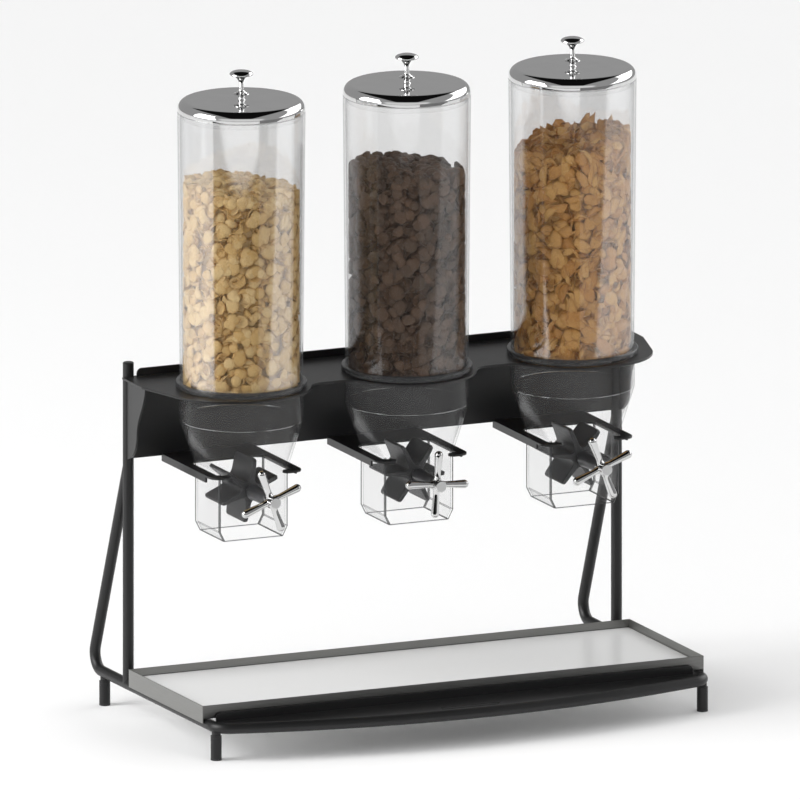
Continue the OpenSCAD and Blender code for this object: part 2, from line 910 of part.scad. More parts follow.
module wheel(side, turn) {
    color(RUBBER)
        on_axle(side, turn)
            difference() {
                intersection() {
                    translate([0, wheel_half, 0])
                        rotate([90, 0, 0])
                            linear_extrude(2 * wheel_half)
                                wheel_outline();
                    rotate([90, 0, 0])
                        rotate_extrude() {
                            translate([0, -wheel_half])
                                square([paddle_r - paddle_corner_r, 2 * wheel_half]);
                            translate([0, -wheel_half + paddle_corner_r])
                                square([paddle_r, 2 * (wheel_half - paddle_corner_r)]);
                            for (end = [-1, 1])
                                translate([paddle_r - paddle_corner_r, end * (wheel_half - paddle_corner_r)])
                                    circle(r = paddle_corner_r);
                        }
                }
                cube([key_w + 2 * key_play, 3 * wheel_half, key_w + 2 * key_play], center = true);
            }
}

module left_wheel() wheel(-1, left_turn);
module middle_wheel() wheel(0, middle_turn);
module right_wheel() wheel(1, right_turn);

// Round at both ends and square in the middle, where it drives the wheel
module axle(side, turn) {
    color(STEEL)
        on_axle(side, turn) {
            axle_rod(axle_d / 2, axle_rear_y, hub_front_y + hub_wall);
            cube([key_w, 2 * key_half, key_w], center = true);
        }
}

module left_axle() axle(-1, left_turn);
module middle_axle() axle(0, middle_turn);
module right_axle() axle(1, right_turn);

// Ring that keeps the axle from being pulled out forwards
module axle_clip(side, turn) {
    color(STEEL)
        on_axle(side, turn)
            difference() {
                axle_rod(axle_d / 2 + 2, clip_y + clip_t, clip_y);
                axle_rod(axle_d / 2, clip_y + clip_t + past, clip_y - past);
            }
}

module left_axle_clip() axle_clip(-1, left_turn);
module middle_axle_clip() axle_clip(0, middle_turn);
module right_axle_clip() axle_clip(1, right_turn);

// Sleeve through the chute's front wall, tapering towards the handle
module front_bush(side) {
    color(RUBBER)
        on_axle(side, 0)
            difference() {
                union() {
                    translate([0, front_face, 0])
                        rotate([90, 0, 0])
                            cylinder(h = front_face - sleeve_end_y, d1 = sleeve_root_d, d2 = sleeve_tip_d);
                    axle_rod(bush_d / 2, -inner_half_d, front_face);
                    axle_rod(bush_d / 2 + 1, -inner_half_d + bush_head_t, -inner_half_d);
                }
                axle_rod(axle_bore_d / 2, 0, sleeve_end_y - past);
            }
}

module left_front_bush() front_bush(-1);
module middle_front_bush() front_bush(0);
module right_front_bush() front_bush(1);

// Short bush through the chute's rear wall
module rear_bush(side) {
    color(RUBBER)
        on_axle(side, 0)
            difference() {
                union() {
                    axle_rod(bush_d / 2 + 2, rear_face + bush_head_t, rear_face);
                    axle_rod(bush_d / 2, rear_face, inner_half_d);
                    axle_rod(bush_d / 2 + 1, inner_half_d, inner_half_d - bush_head_t);
                }
                axle_rod(axle_bore_d / 2, rear_face + bush_head_t + past, 0);
            }
}

module left_rear_bush() rear_bush(-1);
module middle_rear_bush() rear_bush(0);
module right_rear_bush() rear_bush(1);

// Hub with four spokes that thicken towards their round tips
module handle(side, turn) {
    tip_r = spoke_tip_d / 2;
    color(CHROME)
        on_axle(side, turn)
            difference() {
                union() {
                    axle_rod(handle_hub_d / 2, hub_rear_y, hub_front_y);
                    translate([0, spoke_y, 0])
                        for (i = [0 : 3])
                            rotate([0, 90 * i, 0]) {
                                cylinder(h = handle_r - tip_r, d1 = spoke_root_d, d2 = spoke_tip_d);
                                translate([0, 0, handle_r - tip_r])
                                    sphere(r = tip_r);
                            }
                }
                axle_rod(axle_d / 2, hub_rear_y + past, hub_front_y + hub_wall);
            }
}

module left_handle() handle(-1, left_turn);
module middle_handle() handle(0, middle_turn);
module right_handle() handle(1, right_turn);

left_side_rail();
right_side_rail();
front_bow();
left_post();
right_post();
feet();
foot_pads();
fascia_plate();
back_panel();
left_gusset();
right_gusset();
shelf_plate();
crumb_tray();
left_fork();
middle_fork();
right_fork();
left_hopper();
middle_hopper();
right_hopper();
left_front_bush();
middle_front_bush();
right_front_bush();
left_rear_bush();
middle_rear_bush();
right_rear_bush();
left_canister();
middle_canister();
right_canister();
left_lid();
middle_lid();
right_lid();
left_knob();
middle_knob();
right_knob();
left_knob_screw();
middle_knob_screw();
right_knob_screw();
left_wheel();
middle_wheel();
right_wheel();
left_axle();
middle_axle();
right_axle();
left_axle_clip();
middle_axle_clip();
right_axle_clip();
left_handle();
middle_handle();
right_handle();
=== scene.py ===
# %% [markdown]
# # A cereal dispenser with three clear canisters
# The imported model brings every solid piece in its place. This lesson dresses it:
# it gives the steel, the rubber and the clear plastic their finishes, swaps the turned and
# moulded pieces for finer surfaces, and fills the canisters. Every new piece is a formula on
# a grid of points, so its size can be traced back to a named value.

# %% Load the frame
import math

import bpy
import numpy as np
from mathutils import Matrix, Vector


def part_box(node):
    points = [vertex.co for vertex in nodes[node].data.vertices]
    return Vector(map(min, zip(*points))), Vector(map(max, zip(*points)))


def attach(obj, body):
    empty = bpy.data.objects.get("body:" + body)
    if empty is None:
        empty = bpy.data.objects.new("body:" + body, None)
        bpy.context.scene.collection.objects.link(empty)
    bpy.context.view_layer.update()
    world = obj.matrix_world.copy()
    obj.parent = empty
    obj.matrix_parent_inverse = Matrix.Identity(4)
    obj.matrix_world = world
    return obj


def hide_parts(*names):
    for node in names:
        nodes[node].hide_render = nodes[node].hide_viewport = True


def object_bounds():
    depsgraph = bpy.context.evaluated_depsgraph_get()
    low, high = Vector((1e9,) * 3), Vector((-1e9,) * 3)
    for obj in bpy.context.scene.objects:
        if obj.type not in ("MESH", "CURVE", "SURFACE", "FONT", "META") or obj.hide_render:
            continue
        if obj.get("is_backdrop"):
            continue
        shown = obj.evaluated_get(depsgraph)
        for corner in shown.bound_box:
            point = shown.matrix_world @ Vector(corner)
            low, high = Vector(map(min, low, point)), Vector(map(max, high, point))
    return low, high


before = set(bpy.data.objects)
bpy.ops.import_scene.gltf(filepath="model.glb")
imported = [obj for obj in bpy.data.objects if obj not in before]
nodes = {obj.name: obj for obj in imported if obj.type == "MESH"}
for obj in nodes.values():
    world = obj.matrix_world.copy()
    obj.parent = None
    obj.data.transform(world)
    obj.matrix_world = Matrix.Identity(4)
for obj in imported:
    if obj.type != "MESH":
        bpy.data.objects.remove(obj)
cad_low, cad_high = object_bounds()
SIDES = ("left", "middle", "right")
MM = 0.001
print(f"{len(nodes)} CAD nodes, box {[round(1000 * s) for s in cad_high - cad_low]} mm")

# %% [markdown]
# ## The camera
# A catalogue picture has no perspective: the three canisters look the same size and every
# upright stays upright. Blender's orthographic camera gives that, and its scale is simply
# the width of the picture in metres.

# %% Camera
AZIMUTH, ELEVATION = math.radians(24.2), math.radians(12.95)
PICTURE_WIDTH, CAMERA_AWAY = 0.864, 6.0
TARGET_RIGHT, TARGET_UP = 29.85 * MM, 315.4 * MM

to_camera = Vector((
    -math.sin(AZIMUTH) * math.cos(ELEVATION),
    -math.cos(AZIMUTH) * math.cos(ELEVATION),
    math.sin(ELEVATION),
))
to_right = Vector((math.cos(AZIMUTH), -math.sin(AZIMUTH), 0))
to_top = to_camera.cross(to_right)
post_y = (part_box("left_post")[0].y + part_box("left_post")[1].y) / 2
target = Vector((0, post_y, 0)) + TARGET_RIGHT * to_right + TARGET_UP * to_top

camera = bpy.data.objects.new("camera", bpy.data.cameras.new("camera"))
bpy.context.scene.collection.objects.link(camera)
camera.data.type, camera.data.ortho_scale = "ORTHO", PICTURE_WIDTH
camera.location = target + CAMERA_AWAY * to_camera
camera.rotation_euler = to_camera.to_track_quat("Z", "Y").to_euler()
bpy.context.scene.camera = camera
print(f"camera {CAMERA_AWAY:.1f} m away, picture {PICTURE_WIDTH:.3f} m wide")

# %% [markdown]
# ## Shader arithmetic
# A material is a graph of nodes, and a formula is easier to read than a graph. `Flow` wraps
# one output socket, so that `0.2 + 0.5 * grain` adds the Math nodes by itself. Anything that
# isn't arithmetic comes from `Recipe.node`, which takes the node's type, its settings and
# what goes into its sockets.

# %% Sockets that Python can do sums with
class Flow:
    """One output socket. Arithmetic on it adds Math nodes to its tree and gives a new Flow."""

    def __init__(self, recipe, socket):
        self.recipe, self.socket = recipe, socket

    def math(self, operation, *others, swap=False):
        values = (*others, self) if swap else (self, *others)
        return self.recipe.node("ShaderNodeMath", {"operation": operation}, *values)

    def __add__(self, other):
        return self.math("ADD", other)

    def __radd__(self, other):
        return self.math("ADD", other)

    def __sub__(self, other):
        return self.math("SUBTRACT", other)

    def __rsub__(self, other):
        return self.math("SUBTRACT", other, swap=True)

    def __mul__(self, other):
        return self.math("MULTIPLY", other)

    def __rmul__(self, other):
        return self.math("MULTIPLY", other)

    def __truediv__(self, other):
        return self.math("DIVIDE", other)

    def __pow__(self, other):
        return self.math("POWER", other)

    def __abs__(self):
        return self.math("ABSOLUTE")

    def ramp(self, low, high):
        """0 below low, 1 above high, and a smooth rise between them."""
        settings = {"interpolation_type": "SMOOTHSTEP"}
        return self.recipe.node("ShaderNodeMapRange", settings, self, low, high)

    def split(self):
        """The x, y and z of a vector, as three Flows."""
        made = self.recipe.tree.nodes.new("ShaderNodeSeparateXYZ")
        self.recipe.feed(made.inputs[0], self)
        return [Flow(self.recipe, out) for out in made.outputs]


class Recipe:
    """A node tree that is being written."""

    def __init__(self, tree):
        self.tree = tree
        tree.nodes.clear()

    def feed(self, socket, value):
        if isinstance(value, Flow):
            self.tree.links.new(value.socket, socket)
        elif hasattr(value, "__len__") and len(value) == 3 and len(socket.default_value) == 4:
            socket.default_value = (*value, 1)
        else:
            socket.default_value = value

    def node(self, kind, settings=None, *inlets, output=0, **named):
        """Any node: its type, its settings, its first sockets in order, and others by name.
        An underscore in a name stands for the space in the socket's own name."""
        made = self.tree.nodes.new(kind)
        for name, value in (settings or {}).items():
            setattr(made, name, value)
        for socket, value in zip(made.inputs, inlets):
            self.feed(socket, value)
        for name, value in named.items():
            self.feed(made.inputs[name.replace("_", " ")], value)
        return Flow(self, made.outputs[output])

    def place(self):
        """Where a point of the surface is, in metres, as the piece's own coordinates."""
        return self.node("ShaderNodeTexCoord", output="Object")

    def stretched(self, x, y, z):
        """Those coordinates, stretched by three factors."""
        return self.node(
            "ShaderNodeVectorMath", {"operation": "MULTIPLY"}, self.place(), (x, y, z)
        )

    def noise(self, scale, detail=2.0, vector=None, roughness=0.5):
        return self.node(
            "ShaderNodeTexNoise", Vector=vector or self.place(),
            Scale=scale, Detail=detail, Roughness=roughness,
        )

    def attribute(self, name):
        return self.node("ShaderNodeAttribute", {"attribute_name": name}, output="Fac")

    def blend(self, share, a, b):
        """Colour a where share is 0 and colour b where it is 1."""
        made = self.tree.nodes.new("ShaderNodeMix")
        made.data_type = "RGBA"
        self.feed(made.inputs[0], share)
        self.feed(made.inputs[6], a)
        self.feed(made.inputs[7], b)
        return Flow(self, made.outputs[2])

    def bump(self, height, strength, depth):
        return self.node(
            "ShaderNodeBump", Height=height, Strength=strength, Distance=depth
        )

    def surface(self, **sockets):
        return self.node("ShaderNodeBsdfPrincipled", **sockets)

    def mix(self, share, a, b):
        return self.node("ShaderNodeMixShader", None, share, a, b)

    def finish(self, shader, kind="ShaderNodeOutputMaterial"):
        self.tree.links.new(shader.socket, self.tree.nodes.new(kind).inputs[0])


def new_finish(name):
    """An empty material and the recipe that fills it."""
    material = bpy.data.materials.new(name)
    material.use_nodes = True
    return material, Recipe(material.node_tree)


# %% [markdown]
# ## Powder-coated steel
# The stand is bent rod and cut sheet under one black powder coat. The powder melts into a
# skin with a very fine orange peel, so its gloss is broken up. A fine noise in the bump does
# that, and a broad one lets the gloss wander a little.

# %% Black finishes
def powder_coat(name, colour, roughness, peel):
    """Black coat: colour, its mean roughness, and the depth of its orange peel in metres."""
    material, r = new_finish(name)
    wander = r.noise(14.0, 3.0)
    grain = r.noise(900.0, 2.0)
    r.finish(r.surface(
        Base_Color=r.blend(wander, colour, [1.35 * c for c in colour]),
        Roughness=roughness - 0.05 + 0.1 * wander,
        Normal=r.bump(grain, 0.35, peel),
        Specular_IOR_Level=0.42,
    ))
    return material


def rubber(name, colour, roughness):
    """Moulded rubber or dull plastic, with faint pale dust in its broad noise."""
    material, r = new_finish(name)
    dust = r.noise(60.0, 4.0).ramp(0.45, 0.8)
    r.finish(r.surface(
        Base_Color=r.blend(dust, colour, [1.5 * c + 0.004 for c in colour]),
        Roughness=roughness + 0.08 * dust,
        Normal=r.bump(r.noise(1400.0, 2.0), 0.3, 0.00004),
    ))
    return material


rod_black = powder_coat("rod_black", (0.006, 0.006, 0.0062), 0.40, 0.00001)
sheet_black = powder_coat("sheet_black", (0.008, 0.008, 0.0083), 0.31, 0.00001)
foot_rubber = rubber("foot_rubber", (0.02, 0.02, 0.021), 0.7)
wheel_rubber = rubber("wheel_rubber", (0.018, 0.018, 0.019), 0.42)
bush_plastic = rubber("bush_plastic", (0.03, 0.03, 0.032), 0.34)
print("black finishes made")

# %% [markdown]
# ## Stainless steel and chrome
# Stainless sheet is brushed along its length: long fine scratches that blur a reflection
# across them. Noise that is stretched along the brushing gives both the tone and the bump.
# A real tray's floor is the same bare steel and mirrors a very bright room. This room is
# dimmer, so the floor is painted nearly white under a thin coat, a painted reflection of that
# bright room, and the front wall is painted darker than the others, as painted shade. Chrome
# is nearly a mirror, with only the faintest haze.

# %% Bright finishes
TRAY_FLOOR = 48.0 * MM
TRAY_SIDE_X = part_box("crumb_tray")[1].x - 2 * MM
TRAY_FRONT_Y, TRAY_REAR_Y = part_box("crumb_tray")[0].y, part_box("crumb_tray")[1].y
DARK_STEEL, PALE_STEEL = (0.24, 0.24, 0.23), (0.34, 0.34, 0.33)
# The front wall's colour is painted shade, and the floor's nearly white colour is a painted
# reflection.
FRONT_PAINTED_SHADE, FLOOR_PAINTED_REFLECTION, FOLD_TONE = (0.15, 0.15, 0.148), (0.98, 0.98, 0.975), (0.06, 0.06, 0.06)
ALONG, ACROSS = 40, 2600


def brushed_steel():
    """The tray's steel: brushed walls, a floor painted nearly white as a painted reflection of a
    bright room, a front wall painted darker as painted shade, and the dark line of the fold.
    Each border between two of them is a step 0.2 to 0.4 mm wide."""
    material, r = new_finish("brushed_steel")
    x, y, z = r.place().split()
    along_x = r.noise(1.0, 3.0, r.stretched(ALONG, ACROSS, ACROSS))
    along_y = r.noise(1.0, 3.0, r.stretched(ACROSS, ALONG, ACROSS))
    on_side = abs(x).ramp(TRAY_SIDE_X - 0.2 * MM, TRAY_SIDE_X + 0.2 * MM)
    grain = along_x * (1 - on_side) + along_y * on_side
    above_floor = z.ramp(TRAY_FLOOR, TRAY_FLOOR + 0.2 * MM)
    inside = (1 - on_side) * y.ramp(TRAY_FRONT_Y + 0.4 * MM, TRAY_FRONT_Y + 0.6 * MM)
    inside = inside * (1 - y.ramp(TRAY_REAR_Y - 0.6 * MM, TRAY_REAR_Y - 0.4 * MM))
    on_floor = (1 - above_floor) * inside
    on_front = 1 - y.ramp(TRAY_FRONT_Y + 0.3 * MM, TRAY_FRONT_Y + 0.5 * MM)
    fold = above_floor * (1 - z.ramp(TRAY_FLOOR + 0.7 * MM, TRAY_FLOOR + 1.0 * MM)) * inside
    tone = r.blend(grain, DARK_STEEL, PALE_STEEL)
    # Painted shade darkens the front wall, and a painted reflection turns the floor nearly white.
    tone = r.blend(on_front * (0.9 - 0.6 * grain), tone, FRONT_PAINTED_SHADE)
    tone = r.blend(on_floor, tone, FLOOR_PAINTED_REFLECTION)
    r.finish(r.surface(
        Base_Color=r.blend(fold, tone, FOLD_TONE),
        Metallic=1.0 - 0.93 * on_floor,
        Coat_Weight=0.35 * on_floor,
        Coat_Roughness=0.18,
        Roughness=0.36 - 0.14 * on_floor + 0.12 * grain * (1 - on_floor),
        Normal=r.bump(grain * (1 - 0.97 * on_floor), 0.25, 0.00003),
    ))
    return material


def chrome(name, colour, roughness):
    """Bright plated metal. A broad faint haze keeps the reflection from being perfect, and
    the attribute satin marks a face that was only ground, which is duller."""
    material, r = new_finish(name)
    haze = r.noise(45.0, 3.0)
    satin = r.attribute("satin")
    r.finish(r.surface(
        Base_Color=r.blend(haze * (1 - satin) + satin, colour, [0.90 * c for c in colour]),
        Metallic=1.0,
        Roughness=roughness + 0.03 * haze + 0.28 * satin,
    ))
    return material


stainless = brushed_steel()
lid_chrome = chrome("lid_chrome", (0.76, 0.76, 0.76), 0.03)
# The handle's chrome is a darker copy of the lid's: painted shade that dims its reflections.
handle_chrome = chrome("handle_chrome", (0.66, 0.66, 0.66), 0.05)
axle_steel = chrome("axle_steel", (0.55, 0.55, 0.55), 0.3)
print("bright finishes made")

# %% [markdown]
# ## Clear plastic
# A clear wall shows what is behind it, a faint reflection of the room, and dark lines where
# the eye looks along the wall instead of through it. Real refraction through many thin walls
# is slow and noisy, so each wall here lets light straight through, and mixes add a pale matt
# layer, which is painted reflection, the reflection itself and a painted dark edge. The
# attribute `edge` marks rims and corners, where that painted shade shows from everywhere, and
# `glint` marks a bead whose stronger shine is painted on. The three canisters are the same
# plastic, but in this room one share of reflection didn't suit all of them, so each has its
# own share of painted reflection, set one by one.

# %% Clear finishes
# Each canister's share of reflection is painted on one by one, for the same plastic.
VEILS = {"left": 0.14, "middle": 0.04, "right": 0.11}
GRAZING_SHINE, BEAD_SHINE = 0.2, 0.4


def clear_wall(name, tint, veil, haze, grazing, edge_share, edge_tone):
    """A mix of shaders. tint: share of the light one face lets through. veil: share of the
    room reflected head on, to which a fourth power of the slant adds more. haze: share of a
    pale matt layer lit by the lamps, a painted reflection that stands in for part of the
    room's reflection. grazing: how dark a wall seen edge on gets, with the sixth power of the
    slant, as painted shade. edge_share: how much of the view a marked rim blocks, in
    edge_tone, as painted shade."""
    material, r = new_finish(name)
    facing = r.node("ShaderNodeLayerWeight", Blend=0.5, output="Facing")
    gloss = r.surface(Base_Color=(0.95, 0.96, 0.97), Metallic=1.0, Roughness=0.07)
    # The dark surface is painted shade for marked rims and for walls seen edge on.
    dark = r.surface(Base_Color=edge_tone, Roughness=0.2)
    # This pale matt layer is painted reflection, lit by the lamps in place of part of the room's
    # reflection.
    dust = r.surface(Base_Color=(0.8, 0.8, 0.8), Roughness=0.8, Specular_IOR_Level=0.0)
    through = r.node("ShaderNodeBsdfTransparent", Color=(tint, tint, tint))
    shine = veil + GRAZING_SHINE * facing ** 4.0 + BEAD_SHINE * r.attribute("glint")
    edge = r.attribute("edge") * edge_share
    clear = r.mix(shine, r.mix(haze, through, dust), gloss)
    r.finish(r.mix(edge + grazing * facing ** 6.0, clear, dark))
    return material


canister_clear = {
    side: clear_wall(f"{side}_canister_clear", 0.962, veil, 0.006, 0.8, 0.3, (0.12, 0.122, 0.126))
    for side, veil in VEILS.items()
}
hopper_clear = clear_wall("hopper_clear", 0.978, 0.001, 0.013, 0.6, 0.8, (0.03, 0.031, 0.033))
print("clear finishes made")

# %% [markdown]
# ## Meshes from grids
# Every new piece is a grid of points: rings that follow each other down a shape. `skin`
# joins neighbouring rings with four-sided faces, welds rings that shrink to one point, and
# turns the faces outwards.

# %% Grids to meshes
def ring_faces(rows, columns):
    """Four corners of each face between neighbouring rings; the rings are closed."""
    i, j = np.meshgrid(np.arange(rows - 1), np.arange(columns), indexing="ij")
    k = (j + 1) % columns
    corners = [i * columns + j, i * columns + k, (i + 1) * columns + k, (i + 1) * columns + j]
    return np.stack(corners, -1).reshape(-1, 4)


def weld(points, faces):
    """Points closer than a thousandth of a millimetre become one, and the faces that lose a
    corner by it become triangles."""
    _, keep, place = np.unique(
        np.round(points / (0.001 * MM)).astype(np.int64), axis=0,
        return_index=True, return_inverse=True,
    )
    faces = place.reshape(-1)[faces]
    lost = faces == np.roll(faces, -1, axis=1)
    whole = faces[~lost.any(1)]
    corners = [np.delete(faces[lost[:, c] & (lost.sum(1) == 1)], c, axis=1) for c in range(4)]
    return keep, whole.tolist() + np.concatenate(corners).tolist()


def to_object(name, points, faces, material, smooth=35.0, **attributes):
    """A mesh object at the origin with these points, faces, finish and point attributes.
    Edges sharper than smooth, in degrees, stay crisp."""
    mesh = bpy.data.meshes.new(name)
    mesh.from_pydata(points.tolist(), [], faces)
    for title, values in attributes.items():
        mesh.attributes.new(title, "FLOAT", "POINT").data.foreach_set(
            "value", np.asarray(values, np.float32)
        )
    mesh.shade_smooth()
    mesh.set_sharp_from_angle(angle=math.radians(smooth))
    mesh.materials.append(material)
    made = bpy.data.objects.new(name, mesh)
    bpy.context.scene.collection.objects.link(made)
    return made


def skin(rings):
    """(points, faces, which ring each point is on) of rings shaped (rows, columns, 3).
    The signed volume, a sixth of the sum of each face's triple product, says which way the
    faces point."""
    rows, columns, _ = rings.shape
    points, faces = rings.reshape(-1, 3), ring_faces(rows, columns)
    a, b, c, d = (points[faces[:, n]] for n in range(4))
    volume = (np.cross(b - a, c - a) * a).sum() + (np.cross(c - a, d - a) * a).sum()
    if volume < 0:
        faces = faces[:, ::-1]
    keep, faces = weld(points, faces)
    return points[keep], faces, keep // columns


def turned(profile, segments, axis="Z"):
    """Rings of a turned piece: each (radius, height) of the profile goes once round."""
    angle = 2 * np.pi * np.arange(segments) / segments
    radius, height = profile[:, :1], np.broadcast_to(profile[:, 1:], (len(profile), segments))
    c, s = radius * np.cos(angle), radius * np.sin(angle)
    return np.stack([c, s, height] if axis == "Z" else [c, height, -s], -1)


def rounded(corners, radii, steps=5):
    """A profile through corners, each rounded to its radius by an arc of a few steps: the arc
    starts and ends where it touches the two lines, at radius times the tangent of half the
    turn from the corner."""
    corners = np.asarray(corners, float)
    out = [corners[0]]
    for before, here, after, radius in zip(corners, corners[1:], corners[2:], radii):
        u, v = before - here, after - here
        u, v = u / np.linalg.norm(u), v / np.linalg.norm(v)
        half = math.acos(float(np.clip(u @ v, -1, 1))) / 2
        if radius <= 0 or abs(half - math.pi / 2) < 1e-3:
            out.append(here)
            continue
        centre = here + (u + v) / np.linalg.norm(u + v) * radius / math.sin(half)
        start = here + u * radius / math.tan(half) - centre
        end = here + v * radius / math.tan(half) - centre
        sweep = math.pi - 2 * half
        t = np.linspace(0, 1, steps)[:, None]
        arc = start * np.sin((1 - t) * sweep) + end * np.sin(t * sweep)
        out.extend(centre + arc / math.sin(sweep))
    out.append(corners[-1])
    return np.array(out)


def closed(profile):
    """The profile with its first point again at the end, so that a turned wall closes."""
    return np.vstack([profile, profile[:1]])


def piece(name, parts, material, body, slot, *stands_for, smooth=35.0, **attributes):
    """Joins skinned parts into one object that rides on body and stands for its CAD node."""
    points = np.concatenate([p for p, _ in parts])
    start = np.cumsum([0] + [len(p) for p, _ in parts])
    faces = [[n + s for n in f] for (_, fs), s in zip(parts, start) for f in fs]
    made = to_object(name, points, faces, material, smooth, **attributes)
    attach(made, body)
    if stands_for:
        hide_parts(*stands_for)
    return made


# %% [markdown]
# ## Places that the frame gives
# Each dispenser's centre line comes from its own CAD nodes, and so does its axle. The sizes
# and the wheels' rest angles that are typed in below repeat the model's own.

# %% Centres
def middle_of(node):
    low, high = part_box(node)
    return np.array((low + high) / 2)


centres = {side: middle_of(f"{side}_canister") * (1, 1, 0) for side in SIDES}
axle_z = middle_of("left_axle_clip")[2]
TURNS = {"left": 20.7, "middle": -4.0, "right": -68.0}
print({side: [round(1000 * c, 2) for c in place] for side, place in centres.items()})

# %% [markdown]
# ## The clear canisters
# A canister is an open moulded cylinder, a little wider at its mouth. Its wall is one turned
# strip: up the outside, over a rounded rim, and down the inside.

# %% Canisters
SEAT_Z, CANISTER_H, WALL = 379.0 * MM, 303.0 * MM, 2.6 * MM
FOOT_R, TOP_R = 66.5 * MM, 69.25 * MM
top_z = SEAT_Z + CANISTER_H


def wall_radius(z):
    """The outside radius at height z: it grows evenly from the foot to the mouth."""
    return FOOT_R + (TOP_R - FOOT_R) * (z - SEAT_Z) / CANISTER_H


near_foot, near_top = SEAT_Z + 1.5 * MM, top_z - 1.5 * MM
strip = rounded(
    [(FOOT_R - WALL / 2, SEAT_Z), (FOOT_R, SEAT_Z), (wall_radius(near_foot), near_foot),
     (wall_radius(near_top), near_top), (TOP_R, top_z), (TOP_R - WALL, top_z),
     (wall_radius(near_top) - WALL, near_top), (wall_radius(near_foot) - WALL, near_foot),
     (FOOT_R - WALL, SEAT_Z), (FOOT_R - WALL / 2, SEAT_Z)],
    [0.6 * MM, 0, 0, 0.8 * MM, 0.8 * MM, 0, 0, 0.6 * MM],
)
# The rims are marked for a dark line of painted shade.
at_rim = (strip[:, 1] < near_foot - 0.1 * MM) | (strip[:, 1] > near_top + 0.1 * MM)
for side in SIDES:
    points, faces, row = skin(turned(strip, 160) + centres[side])
    piece(f"{side}_canister_wall", [(points, faces)], canister_clear[side], f"{side}_canister_body",
          "clear_plastic", f"{side}_canister", edge=at_rim[row])
print(f"canister: {len(points)} points, rim at {1000 * top_z:.0f} mm")

# %% [markdown]
# ## The clear hoppers
# A hopper starts as a round cup and ends as a square chute. Each level is one closed ring,
# and a ring between the two is the straight blend of a circle and a rounded oblong, point by
# point. The outside goes down and the inside comes back up, a wall's thickness smaller.

# %% Hoppers
RING_POINTS = 160
CHUTE_HALF = np.array([41.0, 32.5]) * MM
HOPPER_WALL, COLLAR_R, COLLAR_Z = 2.4 * MM, 67.3 * MM, 341.0 * MM
CHUTE_TOP, LIP_TOP, MOUTH_Z, LIP_LEAN = 288.0 * MM, 224.6 * MM, 214.0 * MM, 5.4 * MM
CHUTE_CORNER, CORNER_SHARE = 2.2 * MM, 0.7


def circle_ring(radius):
    """Points of a circle at even angles."""
    angle = 2 * np.pi * np.arange(RING_POINTS) / RING_POINTS
    return radius * np.stack([np.cos(angle), np.sin(angle)], -1)


def oblong_ring(half, corner):
    """Points of a rounded oblong. In each quarter turn the middle share goes round the
    corner's arc, and the rest runs along the two half sides."""
    quarter = RING_POINTS // 4
    t = np.arange(RING_POINTS) % quarter / quarter
    side = (1 - CORNER_SHARE) / 2
    turn = np.clip((t - side) / CORNER_SHARE, 0, 1) * np.pi / 2
    first, last = np.clip(t / side, 0, 1), np.clip((t - 1 + side) / side, 0, 1)
    ends = half - corner
    out = np.empty((RING_POINTS, 2))
    for n in range(4):
        part = slice(n * quarter, (n + 1) * quarter)
        reach = ends if n % 2 == 0 else ends[::-1]
        a = turn[part]
        x = (reach[0] * (1 - last[part])) + corner * np.cos(a)
        y = (reach[1] * first[part]) + corner * np.sin(a)
        out[part] = np.stack([(x, y), (-y, x), (-x, -y), (y, -x)][n], -1)
    return out


def level(flat, z):
    """A flat ring lifted to height z."""
    return np.column_stack([flat, np.full(len(flat), z)])


def funnel_levels(inset):
    """Rings from the collar's lower edge to the chute's mouth, inset from the outside."""
    round_top = circle_ring(COLLAR_R - inset)
    corner = max(CHUTE_CORNER - inset, 0.5 * MM)
    square = oblong_ring(CHUTE_HALF - inset, corner)
    mouth = oblong_ring(CHUTE_HALF - inset - (LIP_LEAN, 0), corner)
    rings = []
    for t in (0, 0.01, 0.02, 0.25, 0.5, 0.75, 0.98, 1):
        rings.append(level(round_top * (1 - t) + square * t, COLLAR_Z + t * (CHUTE_TOP - COLLAR_Z)))
    for t in (0.01, 0.03, 0.3, 0.7, 0.98, 0.99, 1):
        rings.append(level(square, CHUTE_TOP + t * (LIP_TOP - CHUTE_TOP)))
    for t in (0.08, 0.12, 0.5, 0.88, 0.92, 1):
        rings.append(level(square * (1 - t) + mouth * t, LIP_TOP + t * (MOUTH_Z - LIP_TOP)))
    return rings


SHELF_Z, FLANGE_TOP = 377.0 * MM, 384.0 * MM
FLANGE_R, SEAT_R, BEAD_H = 71.0 * MM, 66.8 * MM, 0.6 * MM
COLLAR_IN = COLLAR_R - HOPPER_WALL
outside = rounded(
    [(SEAT_R, FLANGE_TOP), (FLANGE_R, FLANGE_TOP), (FLANGE_R, SHELF_Z), (COLLAR_R, SHELF_Z),
     (COLLAR_R, COLLAR_Z + BEAD_H), (COLLAR_R, COLLAR_Z)],
    [1.2 * MM, 0.6 * MM, 0.3 * MM, 0],
)
inside = rounded(
    [(COLLAR_IN, COLLAR_Z), (COLLAR_IN, SEAT_Z), (SEAT_R, SEAT_Z), (SEAT_R, FLANGE_TOP)],
    [0.4 * MM, 0.4 * MM],
)
cup_out = [level(circle_ring(r), z) for r, z in outside[:-1]]
cup_in = [level(circle_ring(r), z) for r, z in inside]
funnel_in = funnel_levels(HOPPER_WALL)[::-1][:-1]
hopper_rings = np.array(cup_out + funnel_levels(0) + funnel_in + cup_in)

